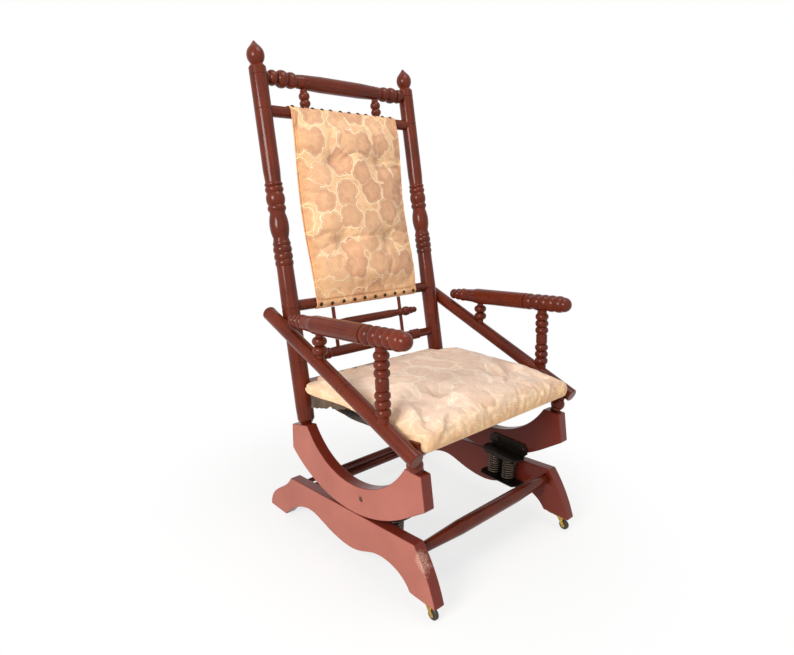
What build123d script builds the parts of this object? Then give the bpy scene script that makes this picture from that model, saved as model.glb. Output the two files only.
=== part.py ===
"""Platform rocker: a turned and upholstered chair whose two curved rockers roll on a fixed base.

The base is two shaped boards, three round stretchers and a swivel caster under each front foot.
The rocking chair above it is two rocker boards, raked back posts, sloping side rails, arms on
turned posts, a sprung seat and a padded back slung between two rails. A pair of coil springs
inside each board ties the chair to the base. Millimetres and degrees: X across, the front
faces -Y, Z up, with the floor at Z = 0 and the middle of the chair at X = Y = 0.
"""
import os
from math import atan2, cos, pi, radians, sin, sqrt, tan

from build123d import *

SIDES = (("left", -1), ("right", 1))

# Clearances.
seat_gap = 0.05           # a turned end against the round it is coped to
face_gap = 0.3            # curved or soft faces that only lie against each other
running_gap = 0.05        # radial, a pin turning in its bore
cut_past = 60.0           # how far a cutting bar or box runs past what it cuts

# Boards: two in the base and two rockers, upright, in one pair of planes.
board_half = 236.0        # chair's middle to a board's middle plane
board_thickness = 28.0
board_inner = board_half - board_thickness / 2
board_outer = board_half + board_thickness / 2

# Base boards: distances along Y are from the line where the rockers touch at rest.
contact_y = -82.4
contact_height = 127.8
base_slope = 5.0          # the base's top rises towards the front
base_front_reach = 251.0
base_rear_reach = 317.5
knee_reach = 185.5
rear_top_reach = 231.5
rear_foot_length = 66.0
front_foot_length = 69.5
front_foot_height = 34.0
front_arch_height = 66.0
rear_arch_height = 59.0
pendant_height = 38.0
pendant_reach = 24.0      # lowest point between the two arches, behind the contact line

# Rockers.
rocker_radius = 315.0
rocker_rear_rise = 66.0   # contact height up to the rear end of the rolling arc
rocker_front_rise = 60.0  # contact height up to the front end of the rolling arc
rocker_front_run = 62.0   # straight edge from there to the front corner
rocker_waist = 63.0       # least depth of a rocker, above the contact height
rocker_waist_reach = 17.0
horn_height = 292.0       # flat front top that carries the neck
horn_length = 44.0
horn_front_reach = 194.0
heel_front = 29.0         # flat rear top, measured from the post's axis
heel_rear = 31.0

# Back posts, leaning to the rear.
post_half = 229.5
post_lean = 13.9
post_foot_reach = 194.5
post_foot_height = 260.0
post_radius = 20.5
post_upper_radius = 19.5
post_foot_radius = 13.0
finial_radius = 20.0
finial_neck = 13.0

# Rails of the back, by their spacing up the posts.
bottom_rail_above_seat = 63.5
drop_bar_above_bottom = 67.0
lower_above_bottom = 124.0
upper_above_lower = 442.0
crest_above_upper = 75.0
post_above_crest = 76.0
bottom_rail_radius = 12.5
drop_bar_radius = 10.5
drop_bar_bead = 12.5
drop_bar_half = 168.0
panel_rail_radius = 13.0
crest_radius = 18.5
crest_end_radius = 11.0
crest_spindle_half = 112.0
crest_spindle_radius = 13.0
thin_rod_half = 110.0
thin_rod_radius = 4.5

# Sloping side rails, outboard of the posts.
side_rail_radius = 16.0
side_rail_slope = 19.9
side_rail_length = 530.0
side_rail_front_reach = 197.5
side_rail_above_horn = 39.5
side_half = post_half + post_radius + side_rail_radius + face_gap

# Arms, over the side rails.
arm_radius = 20.0
arm_slope = 5.8
arm_length = 370.0
arm_rear_reach = 202.5
arm_above_rail = 34.2
arm_bead_radius = 20.3
arm_groove_radius = 17.6
arm_post_setback = 78.0   # arm's front end to its post
arm_post_radius = 16.0
arm_post_neck = 11.5
short_post_at = 100.0
short_post_radius = 16.0
neck_reach = 173.5        # turned neck between a rocker's horn and the side rail
neck_radius = 16.5

# Stretchers of the base.
front_stretcher_reach = 175.5
front_stretcher_height = 115.5
front_stretcher_radius = 16.0
rear_stretcher_reach = 220.5
rear_upper_height = 88.6
rear_upper_radius = 7.8
rear_lower_height = 66.8
rear_lower_radius = 11.6
stretcher_taper = 110.0
stretcher_end_share = 0.68  # radius of a stretcher's ends, of its middle's
stretcher_tenon = 20.0    # how far a stretcher's end enters a board

# Seat: measured in its own plane, from the front lower edge.
seat_tilt = 2.0
seat_post_gap = 1.7       # pad's rear lower edge to the fronts of the posts
seat_above_rail = 11.5
seat_depth = 391.5
seat_half = 246.0
seat_edge = 33.0
seat_crown = 22.0
seat_corner = 13.0
seat_skirt = 7.0          # cover below the frame
seat_crown_share = 0.305  # how far in the crown goes on climbing, of the depth
frame_rail_height = 26.0
front_rail_height = 12.0
frame_rail_width = 22.0
frame_inset = 22.0        # front of the pad to the front rail
side_member_half = 209.0  # chair's middle to the outer face of a side member
seat_tuft_pitch_x = 200.0
seat_tuft_pitch_y = 172.0
tuft_radius = 34.0
seat_tuft_depth = 9.0
panel_tuft_depth = 4.5
under_cloth_thickness = 2.5
under_cloth_sag = 30.0

# Padded back.
panel_half = 165.5
panel_edge = 6.0          # thickness of the pad's edges
panel_thickness = 20.0    # and of its middle
crown_fullness = 0.6      # below 1 the pad fills out sooner towards its ends
crown_least = 0.2         # the cover is nowhere quite flat across
panel_corner = 14.0
panel_tuft_pitch_x = 150.0
panel_tuft_pitch_s = 191.0
panel_tuft_rise = 9.0     # tufts' middle above the panel's
panel_high_overlap = 4.0  # pad above the middle of the upper panel rail
panel_low_margin = 6.0    # pad above the middle of the lower panel rail
sling_thickness = 2.5
sling_sag = 13.0          # how far the sling gives to the rear between its rails
sling_stations = 16
sling_upper_turn = 150.0  # how far the sling wraps each rail, from straight forward
sling_lower_turn = 70.0
upper_nail_count = 12
lower_nail_count = 10
nail_radius = 4.0
nail_rise = 2.2
nail_inset = 10.0         # side of the panel to the outermost nail
upper_nail_turn = 66.0    # nail's direction, turned up from straight forward
lower_nail_turn = -20.0

# Springs: two upright coils on each side between a pair of steel brackets.
spring_forward = 62.6     # pair's middle, ahead of the contact line
spring_spacing = 42.0
coil_mean_radius = 15.8
wire_radius = 2.2
coil_turns = 8
coil_pitch = 6.2
coil_end_bend = 4.4
lower_shelf_height = 82.0
bracket_thickness = 3.0
bracket_width = 116.0
bracket_body = 96.0       # straight part between a bracket's pointed ears
lower_leg = 16.0
upper_leg = 34.0
bracket_tip = 0.4         # of its depth, across the point at each end
spigot_radius = 12.6
spigot_height = 3.0
coil_to_leg = 1.6
bolt_behind = 34.6        # rocker's bolt behind the springs' middle
bolt_radius = 2.5
bolt_head_radius = 5.5
bolt_head_height = 2.6
lower_screw_drop = 8.0    # bracket shelf to the screws
upper_bolt_rise = 20.8
nut_radius = 5.0
nut_thickness = 4.0
screw_shank_radius = 1.6
screw_radius = 3.4
screw_head_height = 1.6
screw_length = 14.0       # into the board
screw_spacing = 92.0
cup_depth = 7.0           # cup of an upper bracket around the tops of its coils
cup_wall = 2.0
cup_clearance = 1.4

# Front casters.
caster_reach = 221.5      # swivel axis, ahead of the contact line
caster_trail = 14.0
caster_wheel_radius = 12.0
caster_wheel_width = 9.0
caster_axle_radius = 1.75
caster_stem_radius = 3.0
caster_socket_radius = 4.5
caster_socket_depth = 22.0
caster_plate_thickness = 2.0
caster_plate_width = 22.0
caster_plate_length = 50.0
caster_disc_radius = 8.5
caster_disc_thickness = 2.4
caster_cheek_thickness = 1.8
caster_cheek_end = 5.0

os.makedirs("parts", exist_ok=True)


def finish(piece, label):
    """Name a finished piece and write it."""
    piece.part.label = label
    export_step(piece.part, f"parts/{label}.step")


def side_plane(x):
    """Upright fore-and-aft plane: its X axis runs to the rear, its Y axis up."""
    return Plane(origin=(x, 0, 0), x_dir=(0, 1, 0), z_dir=(1, 0, 0))


def lathe_plane(start, end):
    """Plane at start whose Y axis runs to end, for the half profile of a turned piece."""
    along = (end - start).normalized()
    outward = Vector(0, 1, 0) if abs(along.X) > abs(along.Y) else Vector(1, 0, 0)
    return Plane(origin=start, x_dir=outward, z_dir=outward.cross(along))


def cap_middle(radius, height):
    """Middle point of a domed end's arc, as radius and height above its rim."""
    dome = (radius**2 + height**2) / (2 * height)
    half_angle = atan2(radius, dome - height) / 2
    return dome * sin(half_angle), height - dome + dome * cos(half_angle)


def turned_profile(first_radius, steps):
    """Half profile up the Y axis from zero. Each step is (kind, length, radius):
    cone to a new radius, bead or cove with a new radius at its middle, shoulder, or dome."""
    radius = first_radius
    height = 0.0
    Line((0, 0), (radius, 0))
    for kind, length, value in steps:
        top = height + length
        if kind == "cone":
            Line((radius, height), (value, top))
            radius = value
        elif kind == "shoulder":
            Line((radius, height), (value, height))
            radius = value
        elif kind == "bead":
            ThreePointArc((radius, height), (value, height + length / 2), (radius, top))
        elif kind == "dome":
            middle_radius, middle_height = cap_middle(radius, length)
            ThreePointArc((radius, height), (middle_radius, height + middle_height), (0, top))
            radius = 0.0
        height = top
    if radius > 0:
        Line((radius, height), (0, height))
    Line((0, height), (0, 0))


def filled(length, steps):
    """Give the one step with no length what the others leave of the piece's length."""
    spare = length - sum(step[1] for step in steps if step[1] is not None)
    return [(kind, spare if size is None else size, value) for kind, size, value in steps]


def rod(start, end, radius):
    """Plain round bar between two points, for cutting copes and holes."""
    along = end - start
    return Solid.make_cylinder(radius, along.length, Plane(origin=start, z_dir=along))


def turned(label, start, end, first_radius, steps, cuts=()):
    """A turned piece from start to end, coped to the bars it meets."""
    with BuildPart() as piece:
        with BuildSketch(lathe_plane(start, end)):
            with BuildLine():
                turned_profile(first_radius, filled((end - start).length, steps))
            make_face()
        revolve(axis=Axis(start, end - start))
        for cut in cuts:
            add(cut, mode=Mode.SUBTRACT)
    finish(piece, label)
    return piece


def base_top(y):
    """Height of the base's sloping top at a place along Y."""
    return contact_height - (y - contact_y) * tan(radians(base_slope))


# ---- Base boards ----------------------------------------------------------------------------

toe_y = contact_y - base_front_reach
tail_y = contact_y + base_rear_reach
knee_y = contact_y - knee_reach
rear_top_y = contact_y + rear_top_reach
front_foot_end = toe_y + front_foot_length
rear_foot_end = tail_y - rear_foot_length
pendant_y = contact_y + pendant_reach
front_arch_y = (front_foot_end + pendant_y) / 2
rear_arch_y = (pendant_y + rear_foot_end) / 2 + board_thickness / 2
front_stretcher_y = contact_y - front_stretcher_reach
rear_stretcher_y = contact_y + rear_stretcher_reach
caster_y = contact_y - caster_reach
toe_chord = (base_top(knee_y) + front_foot_height) / 2
toe_bulge = (toe_y + knee_y) / 2 - board_thickness / 4
stretchers = (
    ("front_stretcher", front_stretcher_y, front_stretcher_height, front_stretcher_radius),
    ("rear_stretcher_upper", rear_stretcher_y, rear_upper_height, rear_upper_radius),
    ("rear_stretcher_lower", rear_stretcher_y, rear_lower_height, rear_lower_radius),
)
spring_y = contact_y - spring_forward
screw_places = (spring_y - screw_spacing / 2, spring_y + screw_spacing / 2)
lower_screw_z = lower_shelf_height - lower_screw_drop
bolt_y = spring_y + bolt_behind


def screw_holes(sign, screw_z):
    """Holes for a bracket's screws, through its leg and into the board behind it."""
    for screw_y in screw_places:
        yield rod(Vector(sign * (board_inner - bracket_thickness - 1), screw_y, screw_z),
                  Vector(sign * (board_inner + screw_length + seat_gap), screw_y, screw_z),
                  screw_shank_radius + seat_gap)


def bolt_hole(sign, bolt_z):
    """Hole for a rocker's bolt, through its bracket and the board."""
    return rod(Vector(sign * (board_inner - bracket_thickness - 1), bolt_y, bolt_z),
               Vector(sign * (board_outer + 1), bolt_y, bolt_z), bolt_radius + seat_gap)


for side, sign in SIDES:
    with BuildPart() as base_board:
        with BuildSketch(side_plane(sign * board_half - board_thickness / 2)):
            with BuildLine():
                Line((rear_top_y, base_top(rear_top_y)), (knee_y, base_top(knee_y)))
                ThreePointArc((knee_y, base_top(knee_y)), (toe_bulge, toe_chord),
                              (toe_y, front_foot_height))
                Line((toe_y, front_foot_height), (front_foot_end, front_foot_height))
                Spline((front_foot_end, front_foot_height), (front_arch_y, front_arch_height),
                       (pendant_y, pendant_height), tangents=((0.55, 0.84), (1, 0.04)))
                Spline((pendant_y, pendant_height), (rear_arch_y, rear_arch_height),
                       (rear_foot_end, 0), tangents=((1, 0.04), (0.62, -0.78)))
                Line((rear_foot_end, 0), (tail_y, 0))
                Spline((tail_y, 0), (tail_y - board_thickness, board_thickness * 1.9),
                       (rear_top_y, base_top(rear_top_y)), tangents=((0, 1), (-0.45, 0.9)))
            make_face()
        extrude(amount=board_thickness)
        for _, stretcher_y, stretcher_z, radius in stretchers:
            inner_end = Vector(sign * (board_inner - seat_gap), stretcher_y, stretcher_z)
            socket_end = inner_end + Vector(sign * (stretcher_tenon + 2 * seat_gap), 0, 0)
            add(rod(inner_end, socket_end, radius * stretcher_end_share + seat_gap),
                mode=Mode.SUBTRACT)
        socket_top = front_foot_height + caster_socket_depth + seat_gap
        add(rod(Vector(sign * board_half, caster_y, front_foot_height - seat_gap),
                Vector(sign * board_half, caster_y, socket_top),
                caster_socket_radius + seat_gap), mode=Mode.SUBTRACT)
        for hole in screw_holes(sign, lower_screw_z):
            add(hole, mode=Mode.SUBTRACT)
    finish(base_board, f"base_board_{side}")

stretcher_half = board_inner + stretcher_tenon
for label, stretcher_y, stretcher_z, radius in stretchers:
    end_radius = radius * stretcher_end_share
    turned(label, Vector(-stretcher_half, stretcher_y, stretcher_z),
           Vector(stretcher_half, stretcher_y, stretcher_z), end_radius,
           [("cone", stretcher_tenon + 12, end_radius), ("cone", stretcher_taper, radius),
            ("cone", None, radius), ("cone", stretcher_taper, end_radius),
            ("cone", stretcher_tenon + 12, end_radius)])

# ---- Rockers --------------------------------------------------------------------------------

slope = radians(base_slope)
lean = radians(post_lean)
arc_y = contact_y + rocker_radius * sin(slope)
arc_z = contact_height + face_gap + rocker_radius * cos(slope)


def arc_point(y):
    """Point of the rolling arc at a place along Y."""
    return (y, arc_z - sqrt(rocker_radius**2 - (y - arc_y) ** 2))


def arc_y_at(height, towards):
    """Place along Y where the rolling arc reaches a height, towards the rear or the front."""
    return arc_y + towards * sqrt(rocker_radius**2 - (arc_z - height) ** 2)


side_rail_front_height = horn_height + side_rail_above_horn
seat_front_height = side_rail_front_height + seat_above_rail
bottom_rail_at = (seat_front_height - post_foot_height) / cos(lean) + bottom_rail_above_seat
drop_bar_at = bottom_rail_at + drop_bar_above_bottom
lower_rail_at = bottom_rail_at + lower_above_bottom
upper_rail_at = lower_rail_at + upper_above_lower
crest_at = upper_rail_at + crest_above_upper
post_length = crest_at + post_above_crest
post_foot_y = contact_y + post_foot_reach
heel_front_point = (post_foot_y - heel_front * cos(lean),
                    post_foot_height + heel_front * sin(lean))
heel_rear_point = (post_foot_y + heel_rear * cos(lean),
                   post_foot_height - heel_rear * sin(lean))
arc_rear = arc_point(arc_y_at(contact_height + rocker_rear_rise, 1))
arc_front = arc_point(arc_y_at(contact_height + rocker_front_rise, -1))
front_turn = atan2(arc_y - arc_front[0], arc_z - arc_front[1])
front_corner = (arc_front[0] - rocker_front_run * cos(front_turn),
                arc_front[1] + rocker_front_run * sin(front_turn))
horn_front_y = contact_y - horn_front_reach
horn_rear_y = horn_front_y + horn_length
waist_point = (contact_y + rocker_waist_reach, contact_height + rocker_waist)
coil_rise = atan2(coil_pitch, 2 * pi * coil_mean_radius)
upper_shelf_height = (lower_shelf_height + coil_turns * coil_pitch
                      + 2 * (2 * wire_radius + coil_end_bend * cos(coil_rise)))
bolt_z = upper_shelf_height + upper_bolt_rise

for side, sign in SIDES:
    with BuildPart() as rocker_board:
        with BuildSketch(side_plane(sign * board_half - board_thickness / 2)):
            with BuildLine():
                ThreePointArc(arc_rear, arc_point(arc_y), arc_front)
                Line(arc_front, front_corner)
                Line(front_corner, (horn_front_y, horn_height))
                Line((horn_front_y, horn_height), (horn_rear_y, horn_height))
                TangentArc(waist_point, (horn_rear_y, horn_height), tangent=(-1, 0))
                TangentArc(waist_point, heel_front_point, tangent=(1, 0))
                Line(heel_front_point, heel_rear_point)
                Line(heel_rear_point, arc_rear)
            make_face()
        extrude(amount=board_thickness)
        for hole in (bolt_hole(sign, bolt_z), *screw_holes(sign, bolt_z)):
            add(hole, mode=Mode.SUBTRACT)
    finish(rocker_board, f"rocker_board_{side}")

# ---- Back posts and the rails between them --------------------------------------------------

back_plane = Plane(origin=(0, post_foot_y, post_foot_height), x_dir=(1, 0, 0),
                   z_dir=(0, -cos(lean), sin(lean)))


def on_back(x, along, forward=0.0):
    """Point given across the back, up the posts and forward of their plane."""
    return back_plane.from_local_coords(Vector(x, along, forward))


def ring(radius):
    """A cut ring on a plain stretch."""
    return ("bead", 2.0, radius - 0.9)


lower = post_radius
upper = post_upper_radius
post_steps = [
    ("cone", 10, lower - 0.8), ("cone", 25, lower),
    ("cone", bottom_rail_at - 40, lower), ring(lower),
    ("cone", lower_rail_at - bottom_rail_at - 2, lower), ring(lower),
    ("cone", 96, lower - 1.5), ("bead", 14, lower + 0.5), ("bead", 16, lower + 1),
    ("bead", 16, lower + 1), ("bead", 10, lower), ("cone", 8, lower - 3),
    ("bead", 56, lower + 1.5), ("cone", 4, lower - 2.5), ("bead", 14, lower + 0.5),
    ("bead", 28, lower + 1), ("bead", 14, lower + 0.5), ("bead", 9, lower),
    ("cone", 26, upper), ("cone", None, upper), ring(upper),
    ("cone", crest_at - upper_rail_at - 2, upper), ring(upper),
    ("cone", 16, upper), ("cone", 9, finial_neck), ("bead", 35, finial_radius),
    ("cone", 11, 3.5), ("dome", 3, 0)]

for side, sign in SIDES:
    turned(f"back_post_{side}", on_back(sign * post_half, 0),
           on_back(sign * post_half, post_length), post_foot_radius, post_steps)

lower_copes = [rod(on_back(sign * post_half, 0),
                   on_back(sign * post_half, lower_rail_at + cut_past),
                   post_radius + seat_gap) for _, sign in SIDES]
upper_copes = [rod(on_back(sign * post_half, upper_rail_at - cut_past),
                   on_back(sign * post_half, crest_at + cut_past),
                   post_upper_radius + seat_gap) for _, sign in SIDES]

crest_bulge = crest_radius + 1.5
crest_half_steps = [
    ("cone", 24, crest_end_radius), ("bead", 20, crest_radius - 1), ("cone", 2, 13.5),
    ("bead", 26, crest_bulge), ("bead", 24, crest_radius), ("cone", 6, 15.5),
    ring(16.0), ("cone", 9, 16.5), ring(16.5), ("cone", 9, 17.0), ring(17.0)]
crest_steps = (crest_half_steps + [("cone", 40, crest_radius), ("cone", None, crest_radius),
                                   ("cone", 40, 17.0)]
               + [ring(17.0), ("cone", 9, 16.5), ring(16.5), ("cone", 9, 16.0), ring(16.0),
                  ("cone", 6, 13.5), ("bead", 24, crest_radius), ("bead", 26, crest_bulge),
                  ("cone", 2, crest_end_radius), ("bead", 20, crest_radius - 1),
                  ("cone", 24, crest_end_radius)])
turned("crest_rail", on_back(-post_half, crest_at), on_back(post_half, crest_at),
       crest_end_radius, crest_steps, upper_copes)

for label, along, copes in (("upper_panel_rail", upper_rail_at, upper_copes),
                            ("lower_panel_rail", lower_rail_at, lower_copes)):
    turned(label, on_back(-post_half, along), on_back(post_half, along), panel_rail_radius,
           [("cone", 38, panel_rail_radius), ring(panel_rail_radius),
            ("cone", None, panel_rail_radius), ring(panel_rail_radius),
            ("cone", 38, panel_rail_radius)], copes)

bead_run = [("bead", 11, bottom_rail_radius + 1.5)] * 3
turned("bottom_back_rail", on_back(-post_half, bottom_rail_at),
       on_back(post_half, bottom_rail_at), bottom_rail_radius - 2,
       [("cone", 60, bottom_rail_radius - 1), *bead_run, ("cone", 20, bottom_rail_radius),
        ("cone", None, bottom_rail_radius), ("cone", 20, bottom_rail_radius - 1), *bead_run,
        ("cone", 60, bottom_rail_radius - 2)], lower_copes)

for side, sign in SIDES:
    turned(f"crest_spindle_{side}", on_back(sign * crest_spindle_half, upper_rail_at),
           on_back(sign * crest_spindle_half, crest_at), 8.5,
           [("cone", panel_rail_radius + 5, 8.5), ("bead", None, crest_spindle_radius),
            ("bead", 18, crest_spindle_radius), ("cone", crest_radius + 5, 7.5)],
           [rod(on_back(-panel_half, upper_rail_at), on_back(panel_half, upper_rail_at),
                panel_rail_radius + sling_thickness + face_gap + seat_gap),
            rod(on_back(-panel_half, crest_at), on_back(panel_half, crest_at),
                crest_radius + seat_gap)])
    turned(f"thin_rod_{side}", on_back(sign * thin_rod_half, bottom_rail_at),
           on_back(sign * thin_rod_half, lower_rail_at), thin_rod_radius,
           [("cone", None, thin_rod_radius)],
           [rod(on_back(-panel_half, bottom_rail_at), on_back(panel_half, bottom_rail_at),
                bottom_rail_radius + seat_gap),
            rod(on_back(-panel_half, lower_rail_at), on_back(panel_half, lower_rail_at),
                panel_rail_radius + sling_thickness + face_gap + seat_gap)])

drop_end = [("bead", 12, 8.0), ("bead", 12, 9.5), ("shoulder", 0, 8.5),
            ("bead", 26, drop_bar_bead), ("bead", 16, drop_bar_radius)]
turned("drop_bar", on_back(-drop_bar_half, drop_bar_at), on_back(drop_bar_half, drop_bar_at), 5,
       [("shoulder", 0, 5.5), *drop_end, ("cone", 30, drop_bar_radius),
        ring(drop_bar_radius), ("cone", None, drop_bar_radius), ring(drop_bar_radius),
        ("cone", 30, 8.5), *drop_end[:2:-1], ("shoulder", 0, 5.5), ("bead", 12, 9.5),
        ("bead", 12, 8.0)],
       [rod(on_back(sign * thin_rod_half, bottom_rail_at),
            on_back(sign * thin_rod_half, lower_rail_at), thin_rod_radius + seat_gap)
        for _, sign in SIDES])

# ---- Side rails, arms and their posts -------------------------------------------------------

rail_slope = radians(side_rail_slope)
rail_front_y = contact_y - side_rail_front_reach
arm_pitch = radians(arm_slope)
arm_rear_y = contact_y + arm_rear_reach
arm_rear_height = (side_rail_front_height + (arm_rear_y - rail_front_y) * tan(rail_slope)
                   + arm_above_rail)
neck_y = contact_y - neck_reach
arm_post_at = arm_length - arm_post_setback


def on_side_rail(sign, along):
    """Point of a side rail's axis, measured up it from its front end."""
    return Vector(sign * side_half, rail_front_y + along * cos(rail_slope),
                  side_rail_front_height + along * sin(rail_slope))


def on_arm(sign, along, below=0.0):
    """Point of an arm's axis from its rear end, or square below it."""
    return Vector(sign * side_half,
                  arm_rear_y - along * cos(arm_pitch) - below * sin(arm_pitch),
                  arm_rear_height + along * sin(arm_pitch) - below * cos(arm_pitch))


def drop_to_side_rail(along):
    """Distance from an arm's axis square down to the side rail's axis."""
    start = on_arm(1, along)
    rise = start.Z - side_rail_front_height - (start.Y - rail_front_y) * tan(rail_slope)
    return rise / (cos(arm_pitch) - sin(arm_pitch) * tan(rail_slope))


for side, sign in SIDES:
    rail_start = on_side_rail(sign, 0)
    rail_end = on_side_rail(sign, side_rail_length)
    rail_bar = rod(rail_start, rail_end, side_rail_radius + seat_gap)
    arm_bar = rod(on_arm(sign, 0), on_arm(sign, arm_post_at / 2), arm_radius + seat_gap)
    arm_bead_bar = rod(on_arm(sign, arm_post_at / 2), on_arm(sign, arm_length),
                       arm_bead_radius + seat_gap)
    turned(f"side_rail_{side}", rail_start, rail_end, side_rail_radius - 1.5,
           [("cone", 1.5, side_rail_radius), ("cone", 215, side_rail_radius),
            ring(side_rail_radius), ("cone", 11, side_rail_radius), ring(side_rail_radius),
            ("cone", 88, side_rail_radius), ring(side_rail_radius),
            ("cone", None, side_rail_radius), ring(side_rail_radius),
            ("cone", 5, side_rail_radius), ("dome", 10, 0)])
    turned(f"arm_{side}", on_arm(sign, 0), on_arm(sign, arm_length), 7.5,
           [("bead", 17, 13.5), ("shoulder", 0, 10.5), ("bead", 17, 15.3),
            ("shoulder", 0, 12.5), ("bead", 17, 17.0), ("shoulder", 0, 16.0),
            ("cone", 20, 17.0), ring(17.0), ("cone", 18, arm_radius),
            ("cone", None, arm_radius), ("cone", 1, arm_groove_radius),
            ("bead", 20, arm_bead_radius), ("cone", 4, arm_groove_radius + 1),
            ("shoulder", 0, arm_groove_radius), *[("bead", 20, arm_bead_radius)] * 4,
            ("dome", 20, 0)])
    post_drop = drop_to_side_rail(arm_post_at)
    turned(f"arm_post_{side}", on_arm(sign, arm_post_at),
           on_arm(sign, arm_post_at, post_drop), arm_post_neck,
           [("cone", arm_radius + 6, arm_post_neck), *[("bead", 17, arm_post_radius)] * 3,
            ("cone", 4, arm_post_neck + 2), ("cone", None, arm_post_neck + 2),
            ("cone", 3, arm_post_neck), *[("bead", 17, arm_post_radius)] * 3,
            ("cone", side_rail_radius + 6, arm_post_neck)], [arm_bead_bar, rail_bar])
    short_drop = drop_to_side_rail(short_post_at)
    turned(f"short_post_{side}", on_arm(sign, short_post_at),
           on_arm(sign, short_post_at, short_drop), 8.0,
           [("cone", arm_radius + 4, 8.0), ("bead", 19, short_post_radius),
            ("bead", None, short_post_radius), ("cone", side_rail_radius + 5, 8.0)],
           [arm_bar, rail_bar])
    rail_z = side_rail_front_height + (neck_y - rail_front_y) * tan(rail_slope)
    turned(f"neck_{side}", Vector(sign * board_half, neck_y, horn_height),
           Vector(sign * side_half, neck_y, rail_z), 11.0,
           [("bead", 7, 12.5), ("bead", None, neck_radius), ("cone", 26, 9.0)],
           [rail_bar, Solid.make_box(2 * cut_past, 2 * cut_past, cut_past, Plane((
               sign * board_half - cut_past, neck_y - cut_past, horn_height - cut_past)))])

# ---- Seat -----------------------------------------------------------------------------------

tilt = radians(seat_tilt)
seat_rear_height = seat_front_height - seat_depth * sin(tilt)
post_front_y = (post_foot_y + (seat_rear_height - post_foot_height) * tan(lean)
                - post_radius / cos(lean))
seat_front_y = post_front_y - seat_post_gap - seat_depth * cos(tilt)
seat_crown_reach = seat_depth * seat_crown_share
seat_plane = Plane(origin=(0, seat_front_y, seat_front_height),
                   x_dir=(1, 0, 0), z_dir=(0, sin(tilt), cos(tilt)))
front_rail_v = frame_inset + frame_rail_width / 2
rear_rail_point = on_back(0, (seat_front_height - post_foot_height) / cos(lean))
rear_rail_v = seat_plane.to_local_coords(rear_rail_point).Y


def seat_box(u_low, u_high, v_low, v_high, w_low, w_high):
    """Square bar in the seat's plane: across, from the front and up."""
    corner = seat_plane.from_local_coords(Vector(u_low, v_low, w_low))
    return Solid.make_box(u_high - u_low, v_high - v_low, w_high - w_low,
                          Plane(origin=corner, x_dir=seat_plane.x_dir, z_dir=seat_plane.z_dir))


rail_copes = [rod(on_side_rail(sign, -cut_past), on_side_rail(sign, 2 * cut_past),
                  side_rail_radius + seat_gap) for _, sign in SIDES]
front_rail_low = front_rail_v - frame_rail_width / 2
front_rail_high = front_rail_v + frame_rail_width / 2
rear_rail_low = rear_rail_v - frame_rail_width / 2
rear_rail_high = rear_rail_v + frame_rail_width / 2

with BuildPart() as front_rail:
    add(seat_box(-side_half, side_half, front_rail_low, front_rail_high, 0, front_rail_height))
    for cope in rail_copes:
        add(cope, mode=Mode.SUBTRACT)
    outer = side_half - side_rail_radius - seat_gap
    for _, sign in SIDES:
        trim = seat_box(*sorted((sign * outer, sign * (outer + cut_past))),
                        front_rail_low - cut_past, front_rail_high + cut_past,
                        -cut_past, front_rail_height + cut_past)
        add(trim, mode=Mode.SUBTRACT)
finish(front_rail, "seat_front_rail")

with BuildPart() as rear_rail:
    add(seat_box(-post_half, post_half, rear_rail_low, rear_rail_high, 0, frame_rail_height))
    for cope in lower_copes:
        add(cope, mode=Mode.SUBTRACT)
finish(rear_rail, "seat_rear_rail")

for side, sign in SIDES:
    with BuildPart() as side_member:
        across = sorted((sign * side_member_half, sign * (side_member_half - frame_rail_width)))
        add(seat_box(*across, front_rail_high, rear_rail_low, 0, frame_rail_height))
    finish(side_member, f"seat_side_rail_{side}")


def pad_levels(depth_below, edge, crown, crown_reach, draw_in, corner):
    """Heights, insets and corner radii of a cushion's outlines: sides drawn in below and
    above their middle, then a crown that climbs to a flat top."""
    levels = [(-depth_below, draw_in, corner - draw_in), (edge * 0.2, draw_in * 0.3, corner),
              (edge * 0.5, 0.0, corner), (edge * 0.8, draw_in * 0.3, corner),
              (edge, draw_in, corner)]
    for share in (0.4, 0.7, 0.9, 1.0):
        reach = crown_reach * (1 - sqrt(1 - share))
        levels.append((edge + crown * share, draw_in + reach, corner + reach * 0.3))
    return levels


def tuft(place, surface):
    """Ball that presses one sewn tuft into a cushion's top."""
    return Solid.make_sphere(tuft_radius, Plane(place + surface * tuft_radius))


with BuildPart() as seat_pad:
    for height, drawn_in, corner in pad_levels(seat_skirt, seat_edge, seat_crown, seat_crown_reach,
                                               6.0, seat_corner):
        with BuildSketch(seat_plane.offset(height)):
            with Locations((0, seat_depth / 2)):
                RectangleRounded(2 * (seat_half - drawn_in), seat_depth - 2 * drawn_in, corner)
    loft(ruled=True)
    pocket_half = side_member_half + face_gap
    pocket_top = frame_rail_height + face_gap
    add(seat_box(-pocket_half, pocket_half, front_rail_low - face_gap,
                 seat_depth + cut_past, -cut_past, pocket_top), mode=Mode.SUBTRACT)
    add(seat_box(-side_half, side_half, front_rail_low - face_gap, front_rail_high + face_gap,
                 -cut_past, front_rail_height + face_gap), mode=Mode.SUBTRACT)
    for row in (-0.5, 0.5):
        for column in (-0.5, 0.5):
            place = seat_plane.from_local_coords(Vector(
                column * seat_tuft_pitch_x, seat_depth / 2 + row * seat_tuft_pitch_y,
                seat_edge + seat_crown - seat_tuft_depth))
            add(tuft(place, seat_plane.z_dir), mode=Mode.SUBTRACT)
finish(seat_pad, "seat_pad")

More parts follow.
